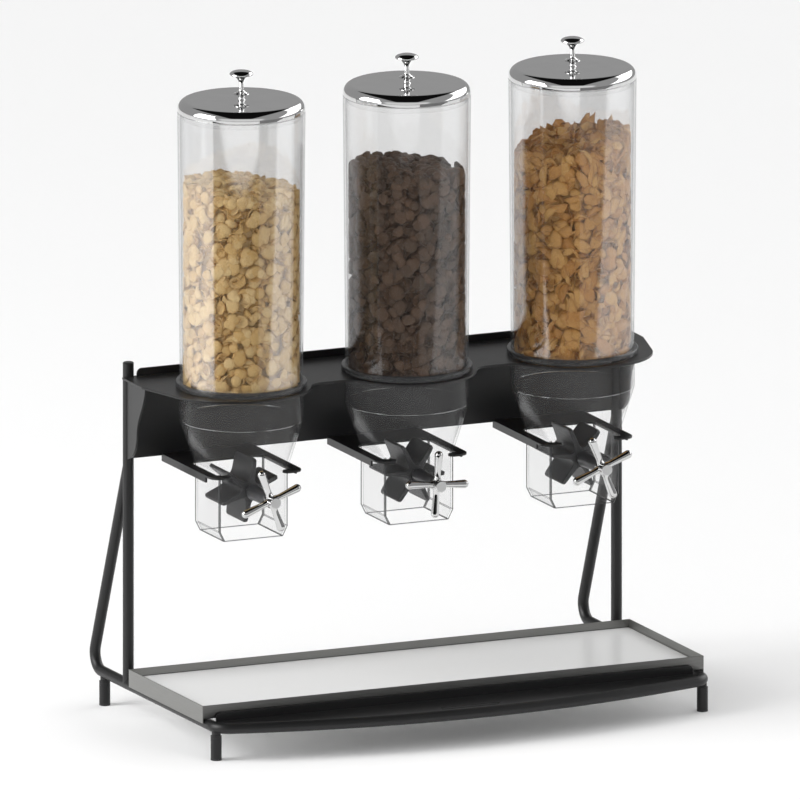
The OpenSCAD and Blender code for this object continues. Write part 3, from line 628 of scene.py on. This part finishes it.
# The dark lines of painted shade run down the chute's corners, round both rims and along the
# lip's fold. The bead is the collar's lower edge, and its extra shine is painted on.
flat = oblong_ring(CHUTE_HALF, CHUTE_CORNER)
on_corner = (np.abs(flat) > CHUTE_HALF - 2.1 * MM).all(1)
ring_z = hopper_rings[:, 0, 2]
ring_edge = np.where(ring_z < CHUTE_TOP + 1 * MM, 1.0, 0.0)[:, None] * on_corner[None, :]
rim = (ring_z < MOUTH_Z + 0.5 * MM) | (ring_z > FLANGE_TOP - 1.5 * MM)
fold = (np.abs(ring_z - LIP_TOP) < 0.1 * MM)[:, None] & (np.abs(flat[:, 0]) > CHUTE_HALF[0] - 1.5 * MM)
ring_edge = np.maximum(ring_edge, np.where(rim[:, None] | fold, 1.0, 0.0))
ring_r = np.linalg.norm(hopper_rings[:, 0, :2], axis=1)
bead = (np.abs(ring_z - COLLAR_Z) < 0.2 * MM) & (ring_r > COLLAR_R - 1 * MM)
ring_glint = np.broadcast_to(bead[:, None] * 1.0, ring_edge.shape)
for side in SIDES:
    placed = (hopper_rings + centres[side]).reshape(-1, 3)
    keep, faces = weld(placed, ring_faces(*hopper_rings.shape[:2])[:, ::-1])
    piece(f"{side}_hopper_shell", [(placed[keep], faces)], hopper_clear, "stand",
          "clear_plastic", f"{side}_hopper", smooth=12,
          edge=ring_edge.reshape(-1)[keep], glint=ring_glint.reshape(-1)[keep])
print(f"hopper: {len(keep)} points, mouth at {1000 * MOUTH_Z:.0f} mm")

# %% [markdown]
# ## Lids and knobs
# The lid is pressed sheet with a wide rounded shoulder and a ring that plugs into the
# canister. That ring is shown as a clear seal. The knob is turned: a waisted foot, a thin
# flare, a neck, a cone and a mushroom cap. All are profiles that go once round.

# %% Lids
LID_H, SHOULDER_R, LID_T = 12.0 * MM, 9.5 * MM, 1.2 * MM
PLUG_R, PLUG_T, PLUG_H = 66.05 * MM, 1.6 * MM, 7.0 * MM
lid_z = top_z + LID_H
lid_profile = rounded(
    [(0, lid_z), (TOP_R - SHOULDER_R - 0.4 * MM, lid_z), (TOP_R, lid_z), (TOP_R, top_z),
     (PLUG_R - PLUG_T, top_z), (PLUG_R - PLUG_T, lid_z - LID_T), (0, lid_z - LID_T)],
    [0, SHOULDER_R, 0.5 * MM, 0.3 * MM, 6 * MM],
    14,
)
seal_profile = closed(np.array([
    (PLUG_R, top_z), (PLUG_R, top_z - PLUG_H + 0.6 * MM), (PLUG_R - 0.6 * MM, top_z - PLUG_H),
    (PLUG_R - PLUG_T, top_z - PLUG_H), (PLUG_R - PLUG_T, top_z),
]))
for side in SIDES:
    points, faces, _ = skin(turned(lid_profile, 192) + centres[side])
    piece(f"{side}_lid_shell", [(points, faces)], lid_chrome, f"{side}_lid_body",
          "lid_chrome", f"{side}_lid")
    points, faces, _ = skin(turned(seal_profile, 128) + centres[side])
    piece(f"{side}_lid_seal", [(points, faces)], hopper_clear, f"{side}_lid_body",
          "clear_plastic", f"{side}_lid")
print(f"lid: {len(points)} points, top at {1000 * lid_z:.0f} mm")

# %% Knobs
KNOB_H, CAP_R, FLARE_R, NECK_R, KNOB_FOOT_R = 33.0 * MM, 13.0 * MM, 8.6 * MM, 2.7 * MM, 4.6 * MM
FOOT_TOP, RIM_Z, FLARE_TOP, NECK_Z = 5.4 * MM, 6.7 * MM, 6.8 * MM, 12.0 * MM
CONE_Z, CONE_TOP, LIP_Z, CAP_Z = 18.6 * MM, 25.0 * MM, 26.4 * MM, 28.2 * MM
FOOT_WAIST, CONE_WIDENS, LIP_R, CAP_DROP = 1.4 * MM, 3.4 * MM, 6.6 * MM, 0.9 * MM


def knob_profile():
    """Radius against height, in stretches: a foot that narrows by a half sine, a thin rim, a
    flare that draws in to the neck with the power 2.2 of what is left, a straight neck, a
    cone that opens with the power 1.6, and a cap whose crown is a quarter of an ellipse."""
    t = np.linspace(0, 1, 7)
    foot = np.stack([KNOB_FOOT_R - FOOT_WAIST * np.sin(np.pi * t), FOOT_TOP * t], -1)
    rim = np.array([(-1.2, -0.8), (-0.2, -0.5), (0, 0), (-0.3, 0.4)]) * MM + (FLARE_R, RIM_Z)
    t = np.linspace(0.08, 1, 14)
    flare = np.stack([NECK_R + (FLARE_R - NECK_R) * (1 - t) ** 2.2,
                      FLARE_TOP + (NECK_Z - FLARE_TOP) * t], -1)
    t = np.linspace(0, 1, 10)
    cone = np.stack([NECK_R + CONE_WIDENS * t**1.6, CONE_Z + (CONE_TOP - CONE_Z) * t], -1)
    lip = np.array([(LIP_R, LIP_Z), (CAP_R - 1.6 * MM, LIP_Z + 0.8 * MM)])
    a = np.radians(np.linspace(-50, 90, 26))
    cap = np.stack([CAP_R * np.cos(a) ** np.where(a < 0, 0.12, 1.0),
                    CAP_Z + np.where(a < 0, CAP_DROP, KNOB_H - CAP_Z) * np.sin(a)], -1)
    return np.vstack([[0, 0], foot, rim, flare, cone, lip, cap])


for side in SIDES:
    points, faces, _ = skin(turned(knob_profile() + (0, lid_z), 96) + centres[side])
    piece(f"{side}_knob_turned", [(points, faces)], lid_chrome, f"{side}_lid_body",
          "lid_chrome", f"{side}_knob", smooth=50)
print(f"knob: {len(points)} points")

# %% [markdown]
# ## Portion wheels
# Six rubber paddles turn in the chute. The wheel's outline is a star: a paddle's side runs
# almost straight to its rounded tip, and a hollow curve joins it to the next paddle. The
# outline is carried along the axle, and near each end it draws in, which rounds the corners.

# %% Wheels
PADDLES, PADDLE_R, WHEEL_HALF = 6, 35.6 * MM, 24.5 * MM
ROOT_HALF, TIP_HALF, CORNER_R, EDGE_R = 3.5 * MM, 2.0 * MM, 5.0 * MM, 1.0 * MM
VALLEY_R = 11.0 * MM


def paddle_side(steps=12):
    """From the valley between two paddles to the middle of the tip, as (along, across) the
    paddle: a quadratic curve from the valley, a straight side, and a quarter circle."""
    valley = VALLEY_R * np.array([math.cos(math.pi / PADDLES), math.sin(math.pi / PADDLES)])
    joint = np.array([17.0 * MM, 0])
    joint[1] = ROOT_HALF + (TIP_HALF - ROOT_HALF) * joint[0] / PADDLE_R
    knee = np.array([valley[0] + 2 * MM, joint[1] + 0.3 * MM])
    t = np.linspace(0, 1, steps)[:, None]
    curve = (1 - t) ** 2 * valley + 2 * t * (1 - t) * knee + t**2 * joint
    straight = joint + np.linspace(0.2, 1, 5)[:, None] * (
        np.array([PADDLE_R - TIP_HALF, TIP_HALF]) - joint
    )
    a = np.radians(np.linspace(75, 0, 6))
    tip = np.stack([PADDLE_R - TIP_HALF + TIP_HALF * np.cos(a), TIP_HALF * np.sin(a)], -1)
    return np.vstack([curve, straight, tip])


half_side = paddle_side()
one = np.vstack([half_side * (1, -1), half_side[::-1][1:-1]])
turns = 2 * np.pi * np.arange(PADDLES) / PADDLES
star = np.concatenate([
    np.stack([one[:, 0] * np.cos(a) - one[:, 1] * np.sin(a),
              one[:, 0] * np.sin(a) + one[:, 1] * np.cos(a)], -1) for a in turns
])


def wheel_rings():
    """The star at each step along the axle. Within CORNER_R of an end its radius is held to
    the corner's quarter circle, and within EDGE_R the whole outline shrinks a little. The
    ends then close towards the axle."""
    ease = EDGE_R * (1 - np.cos(np.linspace(0, np.pi / 2, 4)))
    steps = np.concatenate([ease, [2 * MM, 3 * MM, 4 * MM, CORNER_R, WHEEL_HALF]])
    rings = []
    for depth in steps:
        limit = PADDLE_R - CORNER_R + math.sqrt(CORNER_R**2 - max(CORNER_R - depth, 0) ** 2)
        radius = np.linalg.norm(star, axis=1, keepdims=True)
        draw = EDGE_R - math.sqrt(EDGE_R**2 - max(EDGE_R - depth, 0) ** 2)
        shape = star * np.minimum(1, limit / radius) * (1 - draw / radius)
        along = np.full(len(shape), depth - WHEEL_HALF)
        rings.append(np.column_stack([shape[:, 0], along, -shape[:, 1]]))
    face = [rings[0] * (k, 1, k) for k in (0.0, 0.3, 0.7)]
    front = np.array(face + rings)
    return np.concatenate([front, (front * (1, -1, 1))[::-1][1:]])


def turned_about_axle(points, side, degrees):
    """Points turned about the axle by this angle, counter-clockwise from the front, and moved
    to the side's axle."""
    a = math.radians(degrees)
    x, z = points[..., 0], points[..., 2]
    moved = np.stack([x * math.cos(a) - z * math.sin(a), points[..., 1],
                      x * math.sin(a) + z * math.cos(a)], -1)
    return moved + centres[side] + (0, 0, axle_z)


for side in SIDES:
    points, faces, _ = skin(turned_about_axle(wheel_rings(), side, TURNS[side]))
    piece(f"{side}_wheel_moulded", [(points, faces)], wheel_rubber, f"{side}_wheel_body",
          "wheel_rubber", f"{side}_wheel", smooth=40)
print(f"wheel: {len(points)} points")

# %% [markdown]
# ## Bushes and handles
# The front bush is a long tapered sleeve around the axle, and the handle is a short hub with
# four spokes that swell towards their round tips. All are turned shapes: the sleeve and the
# hub about the axle, each spoke about its own line. The disc on the hub's face is satin.

# %% Front bushes
FRONT_FACE, SLEEVE_END = -32.5 * MM, -71.5 * MM
SLEEVE_ROOT_R, SLEEVE_TIP_R, AXLE_BORE = 8.5 * MM, 6.5 * MM, 3.55 * MM
BUSH_R, BUSH_HEAD_R, BUSH_REAR, BUSH_HEAD_END = 6 * MM, 7 * MM, -28.1 * MM, -30.1 * MM
sleeve = closed(rounded(
    [(BUSH_R, BUSH_REAR), (BUSH_HEAD_R, BUSH_REAR), (BUSH_HEAD_R, BUSH_HEAD_END),
     (BUSH_R, BUSH_HEAD_END), (BUSH_R, FRONT_FACE), (SLEEVE_ROOT_R, FRONT_FACE),
     (SLEEVE_TIP_R, SLEEVE_END), (AXLE_BORE, SLEEVE_END), (AXLE_BORE, BUSH_REAR),
     (BUSH_R, BUSH_REAR)],
    [0.3 * MM, 0.3 * MM, 0, 0, 0.8 * MM, 1.2 * MM, 0.3 * MM, 0.2 * MM],
)[:-1])
for side in SIDES:
    points, faces, _ = skin(turned_about_axle(turned(sleeve, 64, "Y"), side, 0))
    piece(f"{side}_front_sleeve", [(points, faces)], bush_plastic, "stand",
          "bush_plastic", f"{side}_front_bush")
print(f"sleeve: {len(points)} points")

# %% Handles
HUB_R, HUB_REAR, HUB_FRONT, SPOKE_Y = 6.2 * MM, -72.0 * MM, -91.6 * MM, -79.0 * MM
HANDLE_R, SPOKE_ROOT, SPOKE_TIP = 37.0 * MM, 2.7 * MM, 4.6 * MM
DISC_R, BORE_END, SPOKE_START = HUB_R - 0.8 * MM, HUB_FRONT + 3 * MM, 3 * MM
SPOKES, ROOT_FLARE, FLARE_FADES = 4, 1.3 * MM, 1.6 * MM
hub = closed(rounded(
    [(AXLE_BORE, HUB_REAR), (HUB_R, HUB_REAR), (HUB_R, HUB_FRONT), (DISC_R, HUB_FRONT),
     (0, HUB_FRONT), (0, BORE_END), (AXLE_BORE, BORE_END), (AXLE_BORE, HUB_REAR)],
    [0.6 * MM, 0.5 * MM, 0, 0, 0, 0],
)[:-1])


def spoke_rings(degrees):
    """One spoke on its own line: the radius grows evenly from root to tip, with a small
    flare at the hub that fades by an exponential, and a quarter circle closes the tip."""
    s = np.linspace(SPOKE_START, HANDLE_R - SPOKE_TIP, 16)
    radius = SPOKE_ROOT + (SPOKE_TIP - SPOKE_ROOT) * s / (HANDLE_R - SPOKE_TIP)
    radius = radius + ROOT_FLARE * np.exp(-np.maximum(s - HUB_R, 0) / FLARE_FADES)
    a = np.radians(np.linspace(10, 90, 9))
    tip = np.stack([SPOKE_TIP * np.cos(a), HANDLE_R - SPOKE_TIP + SPOKE_TIP * np.sin(a)], -1)
    profile = np.vstack([[0, SPOKE_START], np.stack([radius, s], -1), tip])
    rings = turned(profile, 32)
    turn = math.radians(degrees)
    x, y, z = rings[..., 0], rings[..., 1], rings[..., 2]
    return np.stack([x * math.cos(turn) - z * math.sin(turn), y + SPOKE_Y,
                     x * math.sin(turn) + z * math.cos(turn)], -1)


for side in SIDES:
    parts = [skin(turned_about_axle(turned(hub, 64, "Y"), side, TURNS[side]))[:2]]
    for n in range(SPOKES):
        spoke = turned_about_axle(spoke_rings(360 / SPOKES * n), side, TURNS[side])
        parts.append(skin(spoke)[:2])
    joined = np.vstack([points for points, _ in parts]) - centres[side] - (0, 0, axle_z)
    from_axle = np.hypot(joined[:, 0], joined[:, 2])
    on_disc = (joined[:, 1] < HUB_FRONT + 0.1 * MM) & (from_axle < DISC_R + 0.05 * MM)
    piece(f"{side}_handle_cast", parts, handle_chrome, f"{side}_wheel_body",
          "handle_chrome", f"{side}_handle", satin=on_disc * 1.0)
print(f"handle: {sum(len(p) for p, _ in parts)} points")

# %% [markdown]
# ## The cereals
# What shows through the wall of a full canister is only the outer layer, so the middle is
# one plain core and the flakes are laid in shells around it. One flake is a small dished
# disc; every copy gets its own size, bend and turn as whole arrays. A flake that would stick
# out through the wall is pressed flat against it, as real ones are.

# %% One flake, many times
FILL_GAP, HEAP_DEPTH, CORE_DEPTH = 0.7 * MM, 7 * MM, 9 * MM


def flake_shape(dish, thickness, sides=9):
    """A dished disc of radius 1, as a closed turned shape: its top sinks by dish in the
    middle, its bottom follows a thickness lower, and its rim is round."""
    profile = np.array([
        (0.0, -dish), (0.55, -0.45 * dish), (0.93, thickness * 0.5), (1.0, 0.0),
        (0.85, -thickness * 0.6), (0.5, -dish - thickness), (0.0, -1.25 * dish - thickness),
    ])
    return skin(turned(profile, sides))[:2]


def scattered(count, low, high, radii, rng):
    """Evenly spread places in rings of the given radii: golden-angle steps round, even steps
    up, with a random shift of each."""
    n = np.arange(count)
    shell = np.asarray(radii)[n % len(radii)]
    angle = n * np.pi * (3 - math.sqrt(5)) + rng.normal(0, 0.12, count)
    z = low + (high - low) * (n + rng.uniform(-1, 1, count) * 3) / count
    return np.stack([shell * np.cos(angle), shell * np.sin(angle), z], -1)


# %% [markdown]
# ## A heap of flakes
# The flakes are moved as one big array: their places first, then their directions, and last
# their own shapes. That is much quicker than placing them one by one.

# %% Places and turns of many flakes
def frames(normals, spin):
    """For each normal, two more directions square to it and turned about it by spin."""
    up = np.where(np.abs(normals[:, 2:]) < 0.9, [[0, 0, 1]], [[1, 0, 0]])
    u = np.cross(up, normals)
    u /= np.linalg.norm(u, axis=1, keepdims=True)
    v = np.cross(normals, u)
    c, s = np.cos(spin)[:, None], np.sin(spin)[:, None]
    return u * c + v * s, v * c - u * s


def heap_spots(count, reach, surface, rng):
    """Places in the heap's top layer. The square root of an even share of the radius spreads
    them evenly over the disc."""
    r = reach * np.sqrt(rng.uniform(0, 1, count)) * 0.95
    a = rng.uniform(0, 2 * np.pi, count)
    x, y = r * np.cos(a), r * np.sin(a)
    return np.stack([x, y, surface(x, y) - rng.uniform(0, 1, count) * HEAP_DEPTH], -1)


def flakes(spots, outward, shape, size, stretch, wild, warp, rng):
    """Points of every flake, shaped (flakes, points, 3). A flake faces outward plus a random
    share wild, and is stretched one way as it shrinks the other. Sines of twice and three
    times the angle swell its outline, and it curls by the square of the distance to a line
    through its middle."""
    total = len(spots)
    normal = outward + rng.normal(0, wild, (total, 3))
    normal /= np.linalg.norm(normal, axis=1, keepdims=True)
    u, v = frames(normal, rng.uniform(0, 2 * np.pi, total))
    sizes = size * rng.uniform(0.75, 1.2, total)
    long = rng.uniform(1 / stretch, stretch, total)
    flip = rng.choice([-1.0, 1.0], total)[:, None]
    wave = rng.uniform(0, 2 * np.pi, (total, 2))
    x, y, z = shape.T
    around = np.arctan2(y, x)
    swell = np.sin(2 * around + wave[:, :1]) + 0.6 * np.sin(3 * around + wave[:, 1:])
    outline = 1 + warp * swell
    curl = 1.6 * warp * (x * np.cos(wave[:, :1]) + y * np.sin(wave[:, :1])) ** 2
    along_u = x * outline * (sizes * long)[:, None] * flip
    along_v = y * outline * (sizes / long)[:, None]
    along_normal = (z + curl) * sizes[:, None] * flip
    return (spots[:, None] + along_u[..., None] * u[:, None]
            + along_v[..., None] * v[:, None] + along_normal[..., None] * normal[:, None])


def core_rings(radius, low, surface):
    """The core: a turned block whose top lies HEAP_DEPTH under the heap's surface."""
    def lid(share):
        flat = circle_ring(radius) * share
        return flat, surface(flat[:, 0], flat[:, 1]) - HEAP_DEPTH

    flat, top = lid(1.0)
    rings = [level(flat * 0, low), level(flat, low)]
    for k in np.linspace(0, 1, 6):
        rings.append(np.column_stack([flat, low + (top - low) * (0.04 + 0.96 * k)]))
    for share in (0.66, 0.33, 0.0):
        rings.append(np.column_stack(lid(share)))
    return np.array(rings)


# %% One canister's cereal
def fill(side, material, count, size, stretch, dish, thickness, top, lean, bulge, wild, seed, warp):
    """The cereal of one canister: shells of flakes, a layer on the heap, and the core."""
    def surface(x, y):
        """Height of the heap: a level, a slope across, and a low dome."""
        return top + lean[0] * x + lean[1] * y - bulge * (x**2 + y**2) / FOOT_R**2

    rng = np.random.default_rng(seed)
    low, reach = SEAT_Z + 1.5 * MM, FOOT_R - WALL - FILL_GAP
    shells = [reach - depth * MM for depth in (2.5, 6, 10)]
    wall = scattered(count, low, top + 8 * MM, shells, rng)
    heap = heap_spots(count // 4, reach, surface, rng)
    wall = wall[wall[:, 2] < surface(wall[:, 0], wall[:, 1])]
    sideways = wall * (1, 1, 0) / np.linalg.norm(wall[:, :2], axis=1)[:, None]
    outward = np.vstack([sideways, np.broadcast_to([0, 0, 1.0], heap.shape)])
    shape, faces = flake_shape(dish, thickness)
    points = flakes(np.vstack([wall, heap]), outward, shape, size, stretch, wild, warp, rng)
    total, each = points.shape[:2]
    far = np.linalg.norm(points[..., :2], axis=-1, keepdims=True)
    points[..., :2] *= np.minimum(1, reach / np.maximum(far, 1e-9))
    points[..., 2] = np.maximum(points[..., 2], low - 1 * MM)
    tone = np.repeat(rng.uniform(0, 1, total), each)
    rim = np.tile(np.hypot(shape[:, 0], shape[:, 1]), total)

    core_points, core_faces, _ = skin(core_rings(reach - CORE_DEPTH, low, surface))
    all_faces = [[i + k * each for i in f] for k in range(total) for f in faces]
    all_faces += [[i + total * each for i in f] for f in core_faces]
    points = np.vstack([points.reshape(-1, 3), core_points]) + centres[side]
    tone = np.concatenate([tone, np.zeros(len(core_points))])
    rim = np.concatenate([rim, np.full(len(core_points), 0.2)])
    made = to_object(f"{side}_cereal", points, all_faces, material, 60, tone=tone, rim=rim)
    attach(made, f"{side}_canister_body")
    print(f"{side}: {total} flakes, {len(all_faces)} faces")


# %% [markdown]
# ## Toasted finishes
# Baked flakes differ from each other, and each is browner at its rim. The tone comes from an
# attribute that is the same all over a flake, and the rim from one that grows outwards.

# %% Toasted finishes
def toasted(name, pale, dark, burnt, roughness):
    """A baked flake: pale to dark from one flake to the next, browner at its rim and in
    blotches, with a rough crust."""
    material, r = new_finish(name)
    blotch = r.noise(160.0, 4.0, roughness=0.6)
    colour = r.blend(r.attribute("tone"), pale, dark)
    brown = r.attribute("rim").ramp(0.75, 1.05) * 0.55 + blotch.ramp(0.5, 0.75) * 0.35
    r.finish(r.surface(
        Base_Color=r.blend(brown, colour, burnt),
        Roughness=roughness,
        Normal=r.bump(r.noise(700.0, 3.0), 0.6, 0.0004),
    ))
    return material


# %% Fill the canisters
TOASTED = {
    "hoops": ((0.72, 0.53, 0.26), (0.60, 0.39, 0.14), (0.40, 0.21, 0.05), 0.6),
    "cocoa": ((0.088, 0.046, 0.023), (0.052, 0.028, 0.013), (0.018, 0.010, 0.005), 0.6),
    "corn": ((0.60, 0.35, 0.11), (0.46, 0.21, 0.045), (0.23, 0.085, 0.017), 0.5),
}
ROUND = dict(count=1500, size=8.0 * MM, stretch=1.12, dish=0.5, thickness=0.28, warp=0.05)
CURLED = dict(count=1300, size=10.5 * MM, stretch=1.35, dish=0.30, thickness=0.12, warp=0.16)
toast = {name: toasted(f"toasted_{name}", *look) for name, look in TOASTED.items()}
fill("left", toast["hoops"], **ROUND,
     top=602 * MM, lean=(-0.10, 0.02), bulge=8 * MM, wild=0.55, seed=3)
fill("middle", toast["cocoa"], **ROUND,
     top=599 * MM, lean=(-0.09, 0.0), bulge=-2 * MM, wild=0.4, seed=5)
fill("right", toast["corn"], **CURLED,
     top=608 * MM, lean=(0.20, 0.0), bulge=-2 * MM, wild=0.9, seed=8)

# %% [markdown]
# ## Finishes for the pieces that stay
# Rods, feet, plates and axles keep their CAD meshes. Cut sheet has a soft edge under its
# coat, so the plates are welded, their flat faces joined, and a narrow bevel catches the
# light.

# %% Plates, rods and small parts
def dress(names, material):
    for name in names:
        slots = nodes[name].data.materials
        slots.clear()
        slots.append(material)


def soften(names, width):
    """Weld, join flat faces, then bevel every edge sharper than 40 degrees."""
    for name in names:
        stack = nodes[name].modifiers
        stack.new("weld", "WELD").merge_threshold = 0.001 * MM
        flat = stack.new("flat", "DECIMATE")
        flat.decimate_type, flat.angle_limit = "DISSOLVE", math.radians(1.0)
        edge = stack.new("edge", "BEVEL")
        edge.width, edge.segments, edge.limit_method = width, 2, "ANGLE"
        edge.angle_limit, edge.harden_normals = math.radians(40), True


rods = ["left_side_rail", "right_side_rail", "front_bow", "left_post", "right_post", "feet"]
plates = ["fascia_plate", "back_panel", "left_gusset", "right_gusset", "shelf_plate"]
plates += [f"{side}_fork" for side in SIDES]
dress(rods, rod_black)
dress(plates, sheet_black)
soften(plates, 0.35 * MM)
dress(["foot_pads"], foot_rubber)
dress(["crumb_tray"], stainless)
soften(["crumb_tray"], 0.25 * MM)
for side in SIDES:
    dress([f"{side}_rear_bush"], bush_plastic)
    dress([f"{side}_axle", f"{side}_axle_clip"], axle_steel)
    dress([f"{side}_knob_screw"], lid_chrome)
print(f"{len(rods)} rods, {len(plates)} plates dressed")

# %% [markdown]
# ## Floor and light
# The stage is a wide pale floor in a grey room. Chrome and clear plastic show mostly what
# they mirror, so the room has shapes: a dark ceiling, which puts the black crescent on the
# lids, a bright box at the left and one at the upper right, and a paler wall behind the
# camera. The room is fixed in the world and doesn't follow the camera. One lamp at the left
# throws the light, a weaker one fills the front, and a wide sun stands for the sky.

# %% Floor
FLOOR_HALF = 12.0
floor_mesh = bpy.data.meshes.new("floor")
floor_mesh.from_pydata(
    [(sx * FLOOR_HALF, sy * FLOOR_HALF, -0.1 * MM) for sx, sy in ((-1, -1), (1, -1), (1, 1), (-1, 1))],
    [], [(0, 1, 2, 3)],
)
floor = bpy.data.objects.new("floor", floor_mesh)
bpy.context.scene.collection.objects.link(floor)
pale, r = new_finish("pale_floor")
r.finish(r.surface(Base_Color=(0.93, 0.93, 0.93), Roughness=0.9))
floor_mesh.materials.append(pale)
floor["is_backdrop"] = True

# %% Studio
world = bpy.data.worlds.new("studio")
world.use_nodes = True
bpy.context.scene.world = world
r = Recipe(world.node_tree)
ray = r.node("ShaderNodeTexCoord", output="Generated")
ROOM, PALE_WALL, LEFT_GLOW, RIGHT_GLOW, CEILING_DARK = 0.35, 0.45, 4.2, 2.2, 0.985
UP = Vector((0, 0, 1))
to_back = Vector((math.sin(AZIMUTH), math.cos(AZIMUTH), 0))
across_strip = -0.093 * to_right - 0.573 * to_back + 0.814 * UP


def share_along(direction):
    """How far a direction of the room points along this one, from -1 to 1."""
    dot = {"operation": "DOT_PRODUCT"}
    return r.node("ShaderNodeVectorMath", dot, ray, tuple(direction), output="Value")


# Climb is the angle above straight ahead, in degrees, in the upright plane that the camera
# looks along: 90 is overhead and 180 is straight back. Every shape has soft borders, each
# between two of its values.
side_on, ahead, height = share_along(to_right), share_along(to_back), share_along(UP)
climb = height.math("ARCTAN2", ahead) * (180 / math.pi)
steep = abs(side_on) / height.math("MAXIMUM", 0.01)
overhead = climb.ramp(35, 39) * (1 - climb.ramp(145, 150)) * (1 - steep.ramp(0.55, 0.62))
behind = climb.ramp(146, 154) * height.ramp(0.0, 0.02) * (1 - abs(side_on).ramp(0.55, 0.70))
left_box = (side_on * -1).ramp(0.70, 0.76) * (1 - ahead.ramp(0.05, 0.12))
left_box = left_box * height.ramp(0.02, 0.08) * (1 - height.ramp(0.55, 0.62))
strip = share_along(across_strip)
right_box = strip.ramp(-0.36, -0.31) * (1 - strip.ramp(0.20, 0.26))
right_box = right_box * side_on.ramp(0.27, 0.31) * height.ramp(0.14, 0.20)
strength = ROOM + PALE_WALL * behind + LEFT_GLOW * left_box + RIGHT_GLOW * right_box
strength = strength * (1 - CEILING_DARK * overhead)
r.finish(r.node("ShaderNodeBackground", None, (1.0, 1.0, 1.0), strength), "ShaderNodeOutputWorld")


# %% Lamps
AIM = Vector((0, 0, 0.4))
LAMP_SIZE, SKY_POWER, SKY_WIDTH = 1.3, 1.55, math.radians(120)


def new_lamp(name, kind):
    lamp = bpy.data.objects.new(name, bpy.data.lights.new(name, kind))
    bpy.context.scene.collection.objects.link(lamp)
    return lamp


def soft_light(name, place, power):
    """A square lamp that looks at the middle of the object."""
    lamp = new_lamp(name, "AREA")
    lamp.data.size, lamp.data.energy = LAMP_SIZE, power
    lamp.location = place
    lamp.rotation_euler = (Vector(place) - AIM).to_track_quat("Z", "Y").to_euler()
    return lamp


soft_light("key", (-2.35, 0.30, 1.75), 28)
soft_light("fill", (0.9, -2.6, 0.95), 10).visible_glossy = False
sky = new_lamp("sky", "SUN")
sky.data.energy, sky.data.angle = SKY_POWER, SKY_WIDTH
sky.rotation_euler = (math.radians(25), math.radians(-12), 0)
sky.visible_glossy = False

# %% [markdown]
# Photographers stand cards beside the lens: a black one gives glass and chrome a dark middle,
# and a tall grey one shades their right side. These cards are seen by reflections only, and
# they aren't part of the object.

# %% Cards
CARDS_AWAY = 1.1
to_cards = Vector((to_camera.x, to_camera.y, 0)).normalized() * CARDS_AWAY


def reflector_card(name, left, right, top, tone):
    """An upright card between the camera and the object, from left to right along the
    picture, that only reflections see."""
    mesh = bpy.data.meshes.new(name)
    corners = ((left, 0), (right, 0), (right, top), (left, top))
    mesh.from_pydata([to_cards + to_right * s + UP * z for s, z in corners], [], [(0, 1, 2, 3)])
    card = bpy.data.objects.new(name, mesh)
    bpy.context.scene.collection.objects.link(card)
    matt, r = new_finish(f"{name}_paint")
    r.finish(r.surface(Base_Color=(tone, tone, tone), Roughness=1.0, Specular_IOR_Level=0.0))
    mesh.materials.append(matt)
    for kind in ("camera", "diffuse", "shadow", "transmission"):
        setattr(card, f"visible_{kind}", False)
    card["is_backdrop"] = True


reflector_card("black_card", -1.5, 0.46, 0.37, 0.01)
reflector_card("grey_card", 0.46, 5.0, 0.75, 0.25)

# A ray may pass many clear faces before it meets something solid.
bpy.context.scene.view_settings.view_transform = "Standard"
bpy.context.scene.cycles.transparent_max_bounces = 32
print("studio ready")

# %% Compare the bounds with the CAD model's and finish
low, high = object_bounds()
apart = max(abs(a - b) for a, b in zip([*low, *high], [*cad_low, *cad_high]))
print(f"largest difference {apart / MM:.4f} mm")
